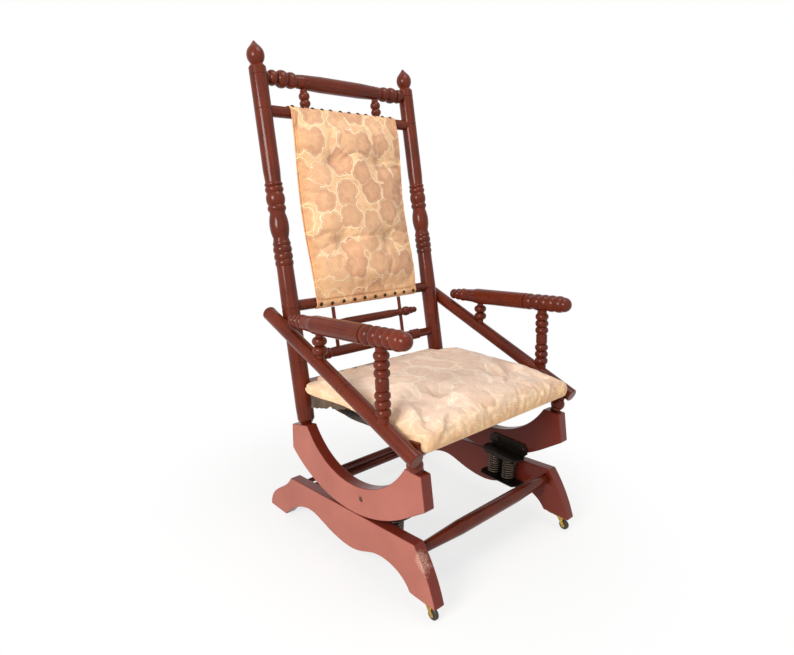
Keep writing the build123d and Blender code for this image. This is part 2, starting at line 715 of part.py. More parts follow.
cloth_front = front_rail_low + 2
cloth_rear = rear_rail_high - 2
cloth_low = cloth_front + (cloth_rear - cloth_front) * 0.62
with BuildPart() as under_cloth:
    with BuildSketch(Plane(origin=seat_plane.from_local_coords(
            Vector(-side_member_half + 2, 0, -under_cloth_thickness)),
            x_dir=seat_plane.y_dir, z_dir=seat_plane.x_dir)):
        with BuildLine() as sag:
            Polyline((cloth_front, 0), (front_rail_high, 0))
            Spline((front_rail_high, 0), (cloth_low, -under_cloth_sag), (rear_rail_low, 0),
                   tangents=((1, -0.02), (1, 0.35)))
            Polyline((rear_rail_low, 0), (cloth_rear, 0), (cloth_rear, under_cloth_thickness),
                     (rear_rail_low - 1, under_cloth_thickness))
            Spline((rear_rail_low - 1, under_cloth_thickness),
                   (cloth_low, under_cloth_thickness - under_cloth_sag),
                   (front_rail_high, under_cloth_thickness), tangents=((-1, -0.35), (-1, 0.02)))
            Polyline((front_rail_high, under_cloth_thickness),
                     (cloth_front, under_cloth_thickness), (cloth_front, 0))
        make_face()
    extrude(amount=2 * side_member_half - 4)
finish(under_cloth, "seat_under_cloth")

# ---- Padded back ----------------------------------------------------------------------------

sling_inner = panel_rail_radius + face_gap
sling_outer = sling_inner + sling_thickness
pad_low = lower_rail_at + panel_low_margin
pad_high = upper_rail_at + panel_high_overlap
pad_middle = (pad_low + pad_high) / 2


def sling_face(along):
    """How far forward the sling's front face lies at a height up the posts."""
    share = (along - lower_rail_at) / (upper_rail_at - lower_rail_at)
    return sling_outer - sling_sag * (1 - cos(2 * pi * share)) / 2


def pad_front(across, along):
    """How far forward the back pad's face lies."""
    rise = max(sin(pi * (along - pad_low) / (pad_high - pad_low)), 0) ** crown_fullness
    crown = (panel_thickness - panel_edge) * rise
    return (sling_face(along) + face_gap + panel_edge
            + crown * (1 - (across / panel_half) ** 2))


def pad_half_width(along):
    """Half width of the back pad, less at its rounded corners."""
    into_corner = max(panel_corner - along + pad_low, panel_corner - pad_high + along, 0)
    return panel_half - panel_corner + sqrt(panel_corner**2 - into_corner**2)


pad_span = pad_high - pad_low - 2 * panel_corner
pad_stations = [pad_low, pad_low + panel_corner / 4]
pad_stations += [pad_low + panel_corner + pad_span * index / sling_stations
                 for index in range(sling_stations + 1)]
pad_stations += [pad_high - panel_corner / 4, pad_high]
with BuildPart() as back_pad:
    for along in pad_stations:
        half = pad_half_width(along)
        rear_face = sling_face(along) + face_gap
        with BuildSketch(Plane(origin=on_back(0, along), x_dir=(1, 0, 0),
                               z_dir=-back_plane.y_dir)):
            # Sketch Y runs forward of the posts' plane.
            with BuildLine():
                Line((-half, rear_face), (half, rear_face))
                Line((half, rear_face), (half, rear_face + panel_edge))
                ThreePointArc((half, rear_face + panel_edge), (0, pad_front(0, along) + crown_least),
                              (-half, rear_face + panel_edge))
                Line((-half, rear_face + panel_edge), (-half, rear_face))
            make_face()
    loft(ruled=True)
    for row in (-0.5, 0.5):
        for column in (-0.5, 0.5):
            tuft_x = column * panel_tuft_pitch_x
            tuft_at = pad_middle + panel_tuft_rise + row * panel_tuft_pitch_s
            place = on_back(tuft_x, tuft_at, pad_front(tuft_x, tuft_at) - panel_tuft_depth)
            add(tuft(place, back_plane.z_dir), mode=Mode.SUBTRACT)
finish(back_pad, "back_pad")

sling_upper = radians(-sling_upper_turn)
sling_lower = radians(sling_lower_turn)
sling_places = [upper_rail_at - (upper_rail_at - lower_rail_at) * index / sling_stations
                for index in range(sling_stations + 1)]
with BuildPart() as back_sling:
    with BuildSketch(Plane(origin=on_back(-panel_half + face_gap, 0), x_dir=back_plane.z_dir,
                           z_dir=(1, 0, 0))):
        # Sketch X runs forward of the posts' plane and sketch Y down them.
        with BuildLine():
            upper_middle = Vector(0, -upper_rail_at)
            lower_middle = Vector(0, -lower_rail_at)
            over = Vector(cos(sling_upper), sin(sling_upper))
            under = Vector(cos(sling_lower), sin(sling_lower))
            CenterArc(upper_middle, sling_outer, -sling_upper_turn, sling_upper_turn)
            Spline(*[Vector(sling_face(along), -along) for along in sling_places],
                   tangents=((0, 1), (0, 1)))
            CenterArc(lower_middle, sling_outer, 0, sling_lower_turn)
            Line(lower_middle + under * sling_outer, lower_middle + under * sling_inner)
            CenterArc(lower_middle, sling_inner, sling_lower_turn, -sling_lower_turn)
            Spline(*[Vector(sling_face(along) - sling_thickness, -along)
                     for along in reversed(sling_places)], tangents=((0, -1), (0, -1)))
            CenterArc(upper_middle, sling_inner, 0, -sling_upper_turn)
            Line(upper_middle + over * sling_inner, upper_middle + over * sling_outer)
        make_face()
    extrude(amount=2 * (panel_half - face_gap))
finish(back_sling, "back_sling")

for label, count, along, turn in (
        ("back_nails_upper", upper_nail_count, upper_rail_at, radians(upper_nail_turn)),
        ("back_nails_lower", lower_nail_count, lower_rail_at, radians(lower_nail_turn))):
    nail_pitch = 2 * (panel_half - nail_inset) / (count - 1)
    with BuildPart() as nails:
        for index in range(count):
            across = (index - (count - 1) / 2) * nail_pitch
            foot, tip = (on_back(across, along + reach * sin(turn), reach * cos(turn))
                         for reach in (sling_outer + seat_gap, sling_outer + nail_rise))
            with BuildSketch(lathe_plane(foot, tip)):
                with BuildLine():
                    turned_profile(nail_radius, [("dome", nail_rise, 0)])
                make_face()
            revolve(axis=Axis(foot, tip - foot))
    finish(nails, label)

# ---- Springs and their brackets -------------------------------------------------------------

leg_inner = board_inner - bracket_thickness
coil_half = leg_inner - coil_to_leg - coil_mean_radius - wire_radius
cup_reach = (leg_inner - coil_half + coil_mean_radius + wire_radius + cup_clearance
             + cup_wall)
cup_width = (spring_spacing + 2 * (coil_mean_radius + wire_radius + cup_clearance
                                   + cup_wall))
shelf_depth = cup_reach + bracket_thickness


def ears(middle, depth):
    """Outline across a bracket's whole width whose two ends run out to points."""
    body, tip, half = bracket_body / 2, bracket_width / 2, depth / 2
    point = half * bracket_tip
    Polygon((middle - half, -body), (middle - point, -tip), (middle + point, -tip),
            (middle + half, -body), (middle + half, body), (middle + point, tip),
            (middle - point, tip), (middle - half, body), align=None)


def bracket(label, sign, shelf_z, up, leg, cup, holes):
    """Steel angle on a board's inner face with a spigot inside each coil's end, and a cup that
    deep round the ends; up is 1 where the coils stand on its shelf, -1 where they hang."""
    with BuildPart() as angle:
        with BuildSketch(Plane(origin=(sign * board_inner, spring_y, shelf_z),
                               x_dir=(0, 0, -up), z_dir=(-sign, 0, 0))):
            ears(leg / 2, leg)
        extrude(amount=bracket_thickness)
        with BuildSketch(Plane(origin=(0, spring_y, shelf_z))):
            ears(sign * (board_inner - shelf_depth / 2), shelf_depth)
        extrude(amount=-up * bracket_thickness)
        with BuildSketch(Plane.XY.offset(shelf_z)):
            with GridLocations(0, spring_spacing, 1, 2):
                with Locations((sign * coil_half, spring_y)):
                    Circle(spigot_radius)
        extrude(amount=up * spigot_height)
        if cup > 0:
            with BuildSketch(Plane.XY.offset(shelf_z)):
                with Locations((sign * (leg_inner - cup_reach / 2), spring_y)):
                    Rectangle(cup_reach, cup_width)
                with Locations((sign * (leg_inner - (cup_reach - cup_wall) / 2), spring_y)):
                    Rectangle(cup_reach - cup_wall, cup_width - 2 * cup_wall,
                              mode=Mode.SUBTRACT)
            extrude(amount=up * cup)
        for hole in holes:
            add(hole, mode=Mode.SUBTRACT)
    finish(angle, label)


for side, sign in SIDES:
    bracket(f"spring_bracket_lower_{side}", sign, lower_shelf_height, 1, lower_leg, 0,
            screw_holes(sign, lower_screw_z))
    bracket(f"spring_bracket_upper_{side}", sign, upper_shelf_height, -1, upper_leg,
            cup_depth, (bolt_hole(sign, bolt_z), *screw_holes(sign, bolt_z)))

with BuildPart() as bolts:
    for _, sign in SIDES:
        outer_face = Vector(sign * (board_outer + bolt_head_height), bolt_y, bolt_z)
        inner_end = Vector(sign * (leg_inner - nut_thickness - 1), bolt_y, bolt_z)
        shank = (inner_end - outer_face).length - bolt_head_height
        with BuildSketch(lathe_plane(inner_end, outer_face)):
            with BuildLine():
                turned_profile(bolt_radius, [("cone", shank, bolt_radius),
                                             ("shoulder", 0, bolt_head_radius),
                                             ("dome", bolt_head_height, 0)])
            make_face()
        revolve(axis=Axis(inner_end, outer_face - inner_end))
finish(bolts, "rocker_bolts")

with BuildPart() as nuts:
    for _, sign in SIDES:
        with BuildSketch(Plane(origin=(sign * leg_inner, bolt_y, bolt_z), z_dir=(-sign, 0, 0))):
            RegularPolygon(nut_radius, 6)
            Circle(bolt_radius + seat_gap, mode=Mode.SUBTRACT)
        extrude(amount=nut_thickness)
finish(nuts, "rocker_nuts")

for label, screw_z in (("base_screws", lower_screw_z), ("rocker_screws", bolt_z)):
    with BuildPart() as screws:
        for _, sign in SIDES:
            for screw_y in screw_places:
                point = Vector(sign * (board_inner + screw_length), screw_y, screw_z)
                crown = Vector(sign * (leg_inner - screw_head_height), screw_y, screw_z)
                shank = (crown - point).length - screw_head_height
                with BuildSketch(lathe_plane(point, crown)):
                    with BuildLine():
                        turned_profile(screw_shank_radius, [
                            ("cone", shank, screw_shank_radius), ("shoulder", 0, screw_radius),
                            ("dome", screw_head_height, 0)])
                    make_face()
                revolve(axis=Axis(point, crown - point))
    finish(screws, label)


def helix_point(centre, turn):
    """Point of a coil's wire axis after a number of turns."""
    angle = 2 * pi * turn
    return centre + Vector(coil_mean_radius * cos(angle), coil_mean_radius * sin(angle),
                           coil_pitch * turn)


def helix_tangent(turn):
    """Direction of the wire after a number of turns."""
    angle = 2 * pi * turn
    return Vector(-sin(angle) * cos(coil_rise), cos(angle) * cos(coil_rise), sin(coil_rise))


def biarc(start, start_tangent, end, end_tangent):
    """Two arcs that leave start and reach end along the given directions."""
    chord = end - start
    both = start_tangent + end_tangent
    spread = 2 * (1 - start_tangent.dot(end_tangent))
    reach = (sqrt(chord.dot(both) ** 2 + spread * chord.dot(chord)) - chord.dot(both)) / spread
    start_handle = start + start_tangent * reach
    end_handle = end - end_tangent * reach
    middle = (start_handle + end_handle) / 2
    TangentArc(start, middle, tangent=start_tangent)
    TangentArc(middle, end, tangent=end_handle - start_handle)


upright = Vector(0, 0, 1)
end_run = 2 * wire_radius
bend_out = coil_end_bend * (1 - sin(coil_rise))
bend_up = coil_end_bend * cos(coil_rise)
for side, sign in SIDES:
    for place, offset in (("front", -spring_spacing / 2), ("rear", spring_spacing / 2)):
        centre = Vector(sign * coil_half, spring_y + offset,
                        lower_shelf_height + end_run + bend_up)
        low_bend = helix_point(centre, 0) - Vector(0, bend_out, bend_up)
        high_bend = helix_point(centre, coil_turns) + Vector(0, bend_out, bend_up)
        with BuildPart() as coil:
            with BuildLine() as wire:
                Line(low_bend - upright * end_run, low_bend)
                TangentArc(low_bend, helix_point(centre, 0), tangent=upright)
                for half_turn in range(2 * coil_turns):
                    biarc(helix_point(centre, half_turn / 2), helix_tangent(half_turn / 2),
                          helix_point(centre, half_turn / 2 + 0.5),
                          helix_tangent(half_turn / 2 + 0.5))
                TangentArc(helix_point(centre, coil_turns), high_bend,
                           tangent=helix_tangent(coil_turns))
                Line(high_bend, high_bend + upright * end_run)
            with BuildSketch(Plane(origin=low_bend - upright * end_run, z_dir=upright)):
                Circle(wire_radius)
            sweep(path=wire.wire())
        finish(coil, f"spring_{side}_{place}")

samples_per_turn = 60
wire_points = [helix_point(Vector(0, 0, 0), index / samples_per_turn)
               for index in range(samples_per_turn * coil_turns + 1)]
least_gap = min((wire_points[first] - wire_points[second]).length
                for first in range(0, len(wire_points), 5)
                for second in range(first + samples_per_turn // 2, len(wire_points)))
print(f"least gap between a coil's turns: {least_gap - 2 * wire_radius:.2f} mm")

# ---- Casters --------------------------------------------------------------------------------

plate_low = front_foot_height - caster_plate_thickness
disc_top = plate_low - face_gap
disc_low = disc_top - caster_disc_thickness
stem_top = front_foot_height + caster_socket_depth - 2
axle_y = caster_y - caster_trail
axle_z = caster_wheel_radius
cheek_inner = caster_wheel_width / 2 + face_gap
axle_half = cheek_inner + caster_cheek_thickness + running_gap * 10
for side, sign in SIDES:
    middle = sign * board_half
    with BuildPart() as caster_plate:
        with BuildSketch(Plane.XY.offset(plate_low)):
            with Locations((middle, toe_y + front_foot_length / 2)):
                RectangleRounded(caster_plate_width, caster_plate_length, 4)
        extrude(amount=caster_plate_thickness)
        with BuildSketch(Plane.XY.offset(front_foot_height)):
            with Locations((middle, caster_y)):
                Circle(caster_socket_radius)
        extrude(amount=caster_socket_depth)
        add(rod(Vector(middle, caster_y, plate_low - 1), Vector(middle, caster_y, stem_top + 1),
                caster_stem_radius + running_gap), mode=Mode.SUBTRACT)
    finish(caster_plate, f"caster_plate_{side}")

    axle_start = Vector(middle - axle_half, axle_y, axle_z)
    axle_end = Vector(middle + axle_half, axle_y, axle_z)
    with BuildPart() as caster_horn:
        with BuildSketch(Plane.XY.offset(disc_low)):
            with Locations((middle, caster_y)):
                Circle(caster_disc_radius)
        extrude(amount=caster_disc_thickness)
        with BuildSketch(Plane.XY.offset(disc_top)):
            with Locations((middle, caster_y)):
                Circle(caster_stem_radius)
        extrude(amount=stem_top - disc_top)
        for cheek_x in (middle - cheek_inner - caster_cheek_thickness, middle + cheek_inner):
            with BuildSketch(side_plane(cheek_x)):
                with BuildLine():
                    Polyline((caster_y + 5, disc_low + 1), (caster_y - 7, disc_low + 1),
                             (axle_y - caster_cheek_end, axle_z),
                             (axle_y, axle_z - caster_cheek_end),
                             (axle_y + caster_cheek_end, axle_z), (caster_y + 5, disc_low + 1))
                make_face()
                with Locations((axle_y, axle_z)):
                    Circle(caster_cheek_end)
            extrude(amount=caster_cheek_thickness)
        add(rod(axle_start, axle_end, caster_axle_radius + seat_gap / 2), mode=Mode.SUBTRACT)
    finish(caster_horn, f"caster_horn_{side}")

    turned(f"caster_axle_{side}", axle_start, axle_end, caster_axle_radius,
           [("cone", None, caster_axle_radius)])
    tread = caster_wheel_radius
    turned(f"caster_wheel_{side}", Vector(middle - caster_wheel_width / 2, axle_y, axle_z),
           Vector(middle + caster_wheel_width / 2, axle_y, axle_z), tread - 3.5,
           [("shoulder", 0, tread - 2), ("cone", 2, tread), ("cone", None, tread),
            ("cone", 2, tread - 2), ("shoulder", 0, tread - 3.5)],
           [rod(axle_start, axle_end, caster_axle_radius + running_gap)])
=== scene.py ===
"""Looks for a platform rocker: lacquered turned wood, painted boards and tufted upholstery.

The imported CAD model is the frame. Metres; X across, the front faces -Y, Z up, floor at Z = 0.
"""
from functools import partial
from math import cos, pi, radians, sin

import bmesh
import bpy
import numpy as np
from bpy.props import FloatProperty, FloatVectorProperty, IntProperty, PointerProperty
from mathutils import Matrix, Vector, noise


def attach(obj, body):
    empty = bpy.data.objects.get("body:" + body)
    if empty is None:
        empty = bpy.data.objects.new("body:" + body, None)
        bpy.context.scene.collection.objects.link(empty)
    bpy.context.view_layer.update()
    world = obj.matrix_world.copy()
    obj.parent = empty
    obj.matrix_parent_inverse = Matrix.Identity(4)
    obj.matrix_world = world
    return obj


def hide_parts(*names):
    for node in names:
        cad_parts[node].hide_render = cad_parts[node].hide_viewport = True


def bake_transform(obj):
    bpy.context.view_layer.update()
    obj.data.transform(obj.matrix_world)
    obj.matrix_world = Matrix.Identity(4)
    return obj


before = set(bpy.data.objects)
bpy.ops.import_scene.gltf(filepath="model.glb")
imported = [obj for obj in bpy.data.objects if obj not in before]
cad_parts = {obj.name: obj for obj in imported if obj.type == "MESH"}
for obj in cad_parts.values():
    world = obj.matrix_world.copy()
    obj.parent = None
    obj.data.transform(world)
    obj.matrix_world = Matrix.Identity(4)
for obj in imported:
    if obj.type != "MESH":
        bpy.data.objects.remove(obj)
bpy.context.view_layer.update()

bl_info = {
    "name": "Platform rocker",
    "version": (1, 0, 0),
    "blender": (4, 5, 0),
    "location": "View3D > Sidebar > Rocker",
    "description": "Dresses the platform rocker in wood, fabric and metal",
    "category": "Object",
}


# ---- Places on the chair, from its own sizes ----

SIDES = (("left", -1), ("right", 1))
ACROSS = np.array((1.0, 0, 0))
BOARD_MIDDLE = 0.236
BOARD_HALF = 0.014
SHARP_RIM, SHARP_CORNER = radians(40), radians(25)
BACK_LEAN = radians(13.9)
BACK_FOOT = Vector((0, 0.1121, 0.26))
BACK_UP = Vector((0, sin(BACK_LEAN), cos(BACK_LEAN)))
BACK_AHEAD = Vector((0, -cos(BACK_LEAN), sin(BACK_LEAN)))
SEAT_TILT = radians(2.0)
SEAT_BACK = Vector((0, cos(SEAT_TILT), -sin(SEAT_TILT)))
SEAT_UP = Vector((0, sin(SEAT_TILT), cos(SEAT_TILT)))
SEAT_CORNER = Vector((0, -0.2849, 0.343))
SEAT_DEPTH = 0.3915
SEAT_HALF = 0.246
SEAT_TUFT = (0.1, 0.086)  # half the spacing of the tufts, across and front to back
PANEL_HALF = 0.1655
PANEL_LOW, PANEL_HIGH = 0.279, 0.719
PANEL_TUFT = (0.075, 0.0955)
PANEL_TUFT_MIDDLE = 0.508
PANEL_RAIL_LOW, PANEL_RAIL_HIGH = 0.273, 0.715
SLING_RADIUS = 0.0146  # middle of the cloth round a panel rail
SLING_SAG = 0.013  # how far the back gives between its two rails
SLING_TURNS = (radians(-70), radians(150))
NAIL_TURNS = (("lower", PANEL_RAIL_LOW, radians(-20), 10),
              ("upper", PANEL_RAIL_HIGH, radians(66), 12))
NAIL_SPAN = 0.308
NAIL_PUCKER = 0.0016  # how far the cloth stands off between two nails
TUFT_PINNED = 0.008  # how near to a tuft nothing swells
TUFT_PIT = 0.011  # radius of the pit at a tuft
SEAT_UNDERSIDE = 0.0275  # height of the pad's underside, within its frame
COVER_CREEP = 0.025  # how far the cover's lower edge has crept up
COVER_LAP = 0.026  # how far the cover laps over the rear rail
PAD_REAR = 0.0161  # how far the back pad's rear lies ahead of the posts
CRAZED = (-0.25, -0.298, 0.124)  # middle of the crazed paint
CAMERA = (-0.993, -0.957, 0.847)
SENSOR = 36  # width of the camera's frame in mm
SWELL_FRAMES = 20
# Holes through the boards' faces, as place along Y, height and radius.
HOLES = ((-0.2579, 0.1155, 0.0109), (0.1381, 0.0886, 0.0054), (0.1381, 0.0668, 0.0079),
         (-0.191, 0.074, 0.0017), (-0.099, 0.074, 0.0017), (-0.1104, 0.17, 0.0026),
         (-0.191, 0.17, 0.0017), (-0.099, 0.17, 0.0017))


def on_back(x, along, forward=0.0):
    """Point given across the back, up the posts and forward of their plane."""
    return BACK_FOOT + Vector((x, 0, 0)) + BACK_UP * along + BACK_AHEAD * forward


def on_seat(across, back, up=0.0):
    """Point in the seat's own plane: across, from the front edge back, and up."""
    return SEAT_CORNER + Vector((across, 0, 0)) + SEAT_BACK * back + SEAT_UP * up


def sling_give(rise):
    """How far the sling has given to the rear at heights up the posts."""
    share = (rise - PANEL_RAIL_LOW) / (PANEL_RAIL_HIGH - PANEL_RAIL_LOW)
    return SLING_SAG * (1 - np.cos(2 * pi * np.clip(share, 0, 1))) / 2


# ---- Settings ----

def srgb(code):
    """Linear colour of an sRGB hex value."""
    channels = [int(code[place:place + 2], 16) / 255 for place in (1, 3, 5)]
    return tuple(c / 12.92 if c <= 0.04045 else ((c + 0.055) / 1.055) ** 2.4
                 for c in channels) + (1.0,)


def grey(level):
    """A linear grey."""
    return (level, level, level, 1.0)


def colour_property(name, description, code):
    """A colour that a user may change."""
    return FloatVectorProperty(name=name, description=description, default=srgb(code), size=4,
                               min=0, max=1, subtype="COLOR")


def length_property(name, description, default):
    """A length that a user may make up to five times as small or large."""
    return FloatProperty(name=name, description=description, default=default,
                         min=default / 5, max=default * 5, unit="LENGTH")


def angle_property(name, description, degrees):
    """An angle that a user may change."""
    return FloatProperty(name=name, description=description, default=radians(degrees),
                         subtype="ANGLE", unit="ROTATION")


def power_property(name, description, default):
    """A lamp's power that a user may change."""
    return FloatProperty(name=name, description=description, default=default, min=0,
                         subtype="POWER")


class RockerWoodSettings(bpy.types.PropertyGroup):
    """Stain and lacquer of the wood."""
    turned_light: colour_property("Turned wood, light", "Lighter grain of the turned wood",
                                  "#702a13")
    turned_dark: colour_property("Turned wood, dark", "Darker grain of the turned wood", "#471609")
    board_light: colour_property("Boards, light", "Lighter paint of the boards", "#ac6758")
    board_dark: colour_property("Boards, dark", "Darker paint of the boards", "#a05d4f")
    # Edges and inner faces of the boards are painted darker than the outer faces: painted shade.
    board_painted_shade: colour_property("Boards, edges", "Unfaded paint of edges and inner faces",
                                "#70291c")
    frame_wood: colour_property("Seat frame", "Bare wood of the hidden seat frame", "#a9794f")
    arris: length_property("Arris", "Radius of the boards' eased edges", 0.0026)


class RockerFabricSettings(bpy.types.PropertyGroup):
    """Printed upholstery of the seat and back."""
    ground: colour_property("Ground", "Ground of the back's print", "#f5c594")
    figure: colour_property("Figure", "Filled figures of the back's print", "#cd9270")
    outline: colour_property("Outline", "Outlines of the back's print", "#ffe6bd")
    seat_ground: colour_property("Seat ground", "Faded ground of the seat's print", "#f2d6bf")
    seat_figure: colour_property("Seat figure", "Faded figures of the seat's print", "#e3bda2")
    seat_outline: colour_property("Seat outline", "Faded outlines of the seat's print", "#fbe8cf")
    figure_size: length_property("Figure size", "Spacing of the printed figures", 0.062)
    thread: length_property("Thread", "Spacing of the fabric's threads", 0.0016)
    pressure: FloatProperty(name="Filling", description="Pressure that plumps the cushions",
                            default=4.0, min=0, max=20)
    seat_swell: length_property("Seat swell", "Most that the seat swells", 0.009)
    back_swell: length_property("Back swell", "Most that the back pad swells", 0.012)
    grain: length_property("Mesh", "Spacing of the cushions' mesh", 0.005)


class RockerMetalSettings(bpy.types.PropertyGroup):
    """Nails, springs and casters."""
    nail_radius: length_property("Nail", "Radius of a nail's head", 0.0048)
    nail_rise: length_property("Nail rise", "Height of a nail's head", 0.0028)
    nail_seed: IntProperty(name="Seed", description="Seed of the nails' uneven setting",
                           default=4, min=0)
    steel: colour_property("Spring steel", "Blackened steel of the springs", "#1c1612")
    coil: colour_property("Coils", "Rubbed steel of the springs' turns", "#6a5d50")
    brass: colour_property("Brass", "Brass of the casters", "#d9b25a")
    nail: colour_property("Nail", "Darkened brass of the nails", "#4d3f26")


class RockerStageSettings(bpy.types.PropertyGroup):
    """Camera, lamps and floor."""
    azimuth: angle_property("Azimuth", "Camera's direction from behind", 44.3)
    elevation: angle_property("Elevation", "How far the camera looks down", 14.99)
    roll: angle_property("Roll", "Camera's turn about its own line of sight", 2.58)
    lens: FloatProperty(name="Lens", description="Focal length on a 36 mm frame",
                        default=27.33, min=10, max=200)
    key_power: power_property("Key lamp", "Power of the lamp at the left", 44.0)
    fill_power: power_property("Fill lamp", "Power of the lamp in front", 5.0)
    top_power: power_property("Top lamp", "Power of the lamp overhead", 14.0)
    floor: colour_property("Floor", "Pale floor", "#f4f2ef")


GROUPS = {"rocker_wood": RockerWoodSettings, "rocker_fabric": RockerFabricSettings,
          "rocker_metal": RockerMetalSettings, "rocker_stage": RockerStageSettings}


# ---- Materials ----

def fill(node, inputs):
    """Sets a node's inputs from values, sockets, or nodes, which give their first output."""
    for name, value in inputs.items():
        if isinstance(value, bpy.types.Node):
            value = next(socket for socket in value.outputs if socket.enabled)
        if isinstance(value, bpy.types.NodeSocket):
            node.id_data.links.new(value, node.inputs[name])
        else:
            node.inputs[name].default_value = value


def add_node(tree, kind, inputs=None, stops=(), **settings):
    """One node with its settings, colour stops and inputs. A shader node's kind is its name,
    with its operation or its kind of data after a space."""
    kind, *mode = kind.split()
    whole = kind.startswith(("Geometry", "Function", "NodeGroup"))
    node = tree.nodes.new(kind if whole else "ShaderNode" + kind)
    if mode:
        setattr(node, "operation" if hasattr(node, "operation") else "data_type", mode[0])
    for name, value in settings.items():
        setattr(node, name, value)
    for place, (position, colour) in enumerate(stops):
        points = node.color_ramp.elements
        point = points[place] if place < 2 else points.new(position)
        point.position = position
        point.color = colour
    fill(node, inputs or {})
    return node


def new_material(name):
    """An empty material, what adds nodes to it, and its shader."""
    material = bpy.data.materials.new(name)
    material.use_nodes = True
    material.node_tree.nodes.clear()
    add = partial(add_node, material.node_tree)
    shader = add("BsdfPrincipled")
    add("OutputMaterial", {"Surface": shader})
    return material, add, shader


def lacquered_turned_beech(name, turn):
    """Turned beech under a red-brown stain and gloss lacquer: fine straight grain along the
    turning, and narrow bright highlights on every bead."""
    wood = bpy.context.scene.rocker_wood
    material, add, shader = new_material(name)
    place = add("TexCoord").outputs["Object"]
    # Beech grain: streaks 2.5 mm apart and 90 mm long, turned to lie along the piece.
    streaks = add("Mapping", {"Vector": place, "Rotation": turn,
        "Scale": (0.0025, 0.0025, 0.09)}, vector_type="TEXTURE")
    streak = add("TexNoise", {"Vector": streaks, "Scale": 1.0, "Detail": 5.0, "Roughness": 0.6})
    # Stain that took unevenly, in patches about 60 mm across.
    patch = add("TexNoise", {"Vector": place, "Scale": 16.0, "Detail": 3.0, "Roughness": 0.5})
    mixed = add("Math ADD", {0: streak, 1: patch})
    tone = add("MapRange", {"Value": mixed, "From Min": 0.6, "From Max": 1.4})
    colour = add("Mix RGBA", {"Factor": tone, "A": wood.turned_dark, "B": wood.turned_light})
    # Dust nibs and brush drag in the lacquer, about 1 mm.
    drag = add("TexNoise", {"Vector": streaks, "Scale": 2.2, "Detail": 2.0})
    rough = add("MapRange", {"Value": patch, "From Min": 0.3, "From Max": 0.7, "To Min": 0.2,
        "To Max": 0.32})
    bump = add("Bump", {"Height": drag, "Strength": 0.05, "Distance": 0.0004})
    fill(shader, {"Base Color": colour, "Roughness": rough, "Normal": bump,
        "Specular IOR Level": 0.12, "Coat Weight": 0.2, "Coat Roughness": 0.05})
    return material


def painted_pine_board(name):
    """Sawn pine boards under a satin red-brown paint: the outer faces a chalky pink painted
    lighter as if lit, the edges and inner faces glossy and painted darker as painted shade, and a
    crazed patch on the near foot."""
    wood = bpy.context.scene.rocker_wood
    material, add, shader = new_material(name)
    place = add("TexCoord").outputs["Object"]
    # Pine grain along the board: lines 3 mm apart and 160 mm long.
    along = add("Mapping", {"Vector": place, "Scale": (0.003, 0.16, 0.003)}, vector_type="TEXTURE")
    grain = add("TexNoise", {"Vector": along, "Scale": 1.0, "Detail": 4.0, "Roughness": 0.55})
    cloud = add("TexNoise", {"Vector": place, "Scale": 9.0, "Detail": 4.0, "Roughness": 0.55})
    mixed = add("Math MULTIPLY_ADD", {0: grain, 1: 0.15, 2: cloud})
    tone = add("MapRange", {"Value": mixed, "From Min": 0.4, "From Max": 0.75})
    broad = add("Mix RGBA", {"Factor": tone, "A": wood.board_dark, "B": wood.board_light})
    # Painted light and shade: the outer faces, where the normal points away from the chair's
    # middle, are lighter as if lit; the edges and inner faces are darker, as painted shade.
    outward = add("SeparateXYZ", {0: add("TexCoord").outputs["Normal"]})
    spot = add("SeparateXYZ", {0: place})
    flank = add("Math SIGN", {0: spot})
    flat = add("Math MULTIPLY", {0: outward, 1: flank})
    side = add("MapRange", {"Value": flat, "From Min": 0.45, "From Max": 0.95})
    paint = add("Mix RGBA", {"Factor": side, "A": wood.board_painted_shade, "B": broad})
    # Crazed patch, about 70 mm tall, where the near foot's knee was knocked.
    scuff_place = add("Mapping", {"Vector": place, "Location": CRAZED,
        "Scale": (0.03, 0.026, 0.03)}, vector_type="TEXTURE")
    reach = add("VectorMath LENGTH", {0: scuff_place})
    ragged = add("TexNoise", {"Vector": place, "Scale": 120.0, "Detail": 5.0, "Roughness": 0.7})
    edge = add("Math MULTIPLY_ADD", {0: ragged, 1: 1.6, 2: 0.1})
    scuff = add("Math SUBTRACT", {0: edge, 1: reach})
    patch = add("MapRange", {"Value": scuff, "From Min": -0.1, "From Max": 0.3, "To Max": 0.8})
    # Hairline cracks round flakes of paint 3 mm across.
    cracks = add("TexVoronoi", {"Vector": place, "Scale": 330.0}, feature="DISTANCE_TO_EDGE")
    flake = add("MapRange", {"Value": cracks, "From Min": 0.22, "From Max": 0.02})
    scuffed = add("Math MULTIPLY", {0: patch, 1: flake})
    colour = add("Mix RGBA", {"Factor": scuffed, "A": paint, "B": srgb("#dcae9c")})
    rough = add("MapRange", {"Value": side, "To Min": 0.3, "To Max": 0.52})
    height = add("Math MULTIPLY_ADD", {0: scuffed, 1: -1.5, 2: grain})
    bump = add("Bump", {"Height": height, "Strength": 0.12, "Distance": 0.0005})
    fill(shader, {"Base Color": colour, "Roughness": rough, "Normal": bump,
        "Specular IOR Level": 0.25, "Coat Weight": 0.06, "Coat Roughness": 0.2})
    return material


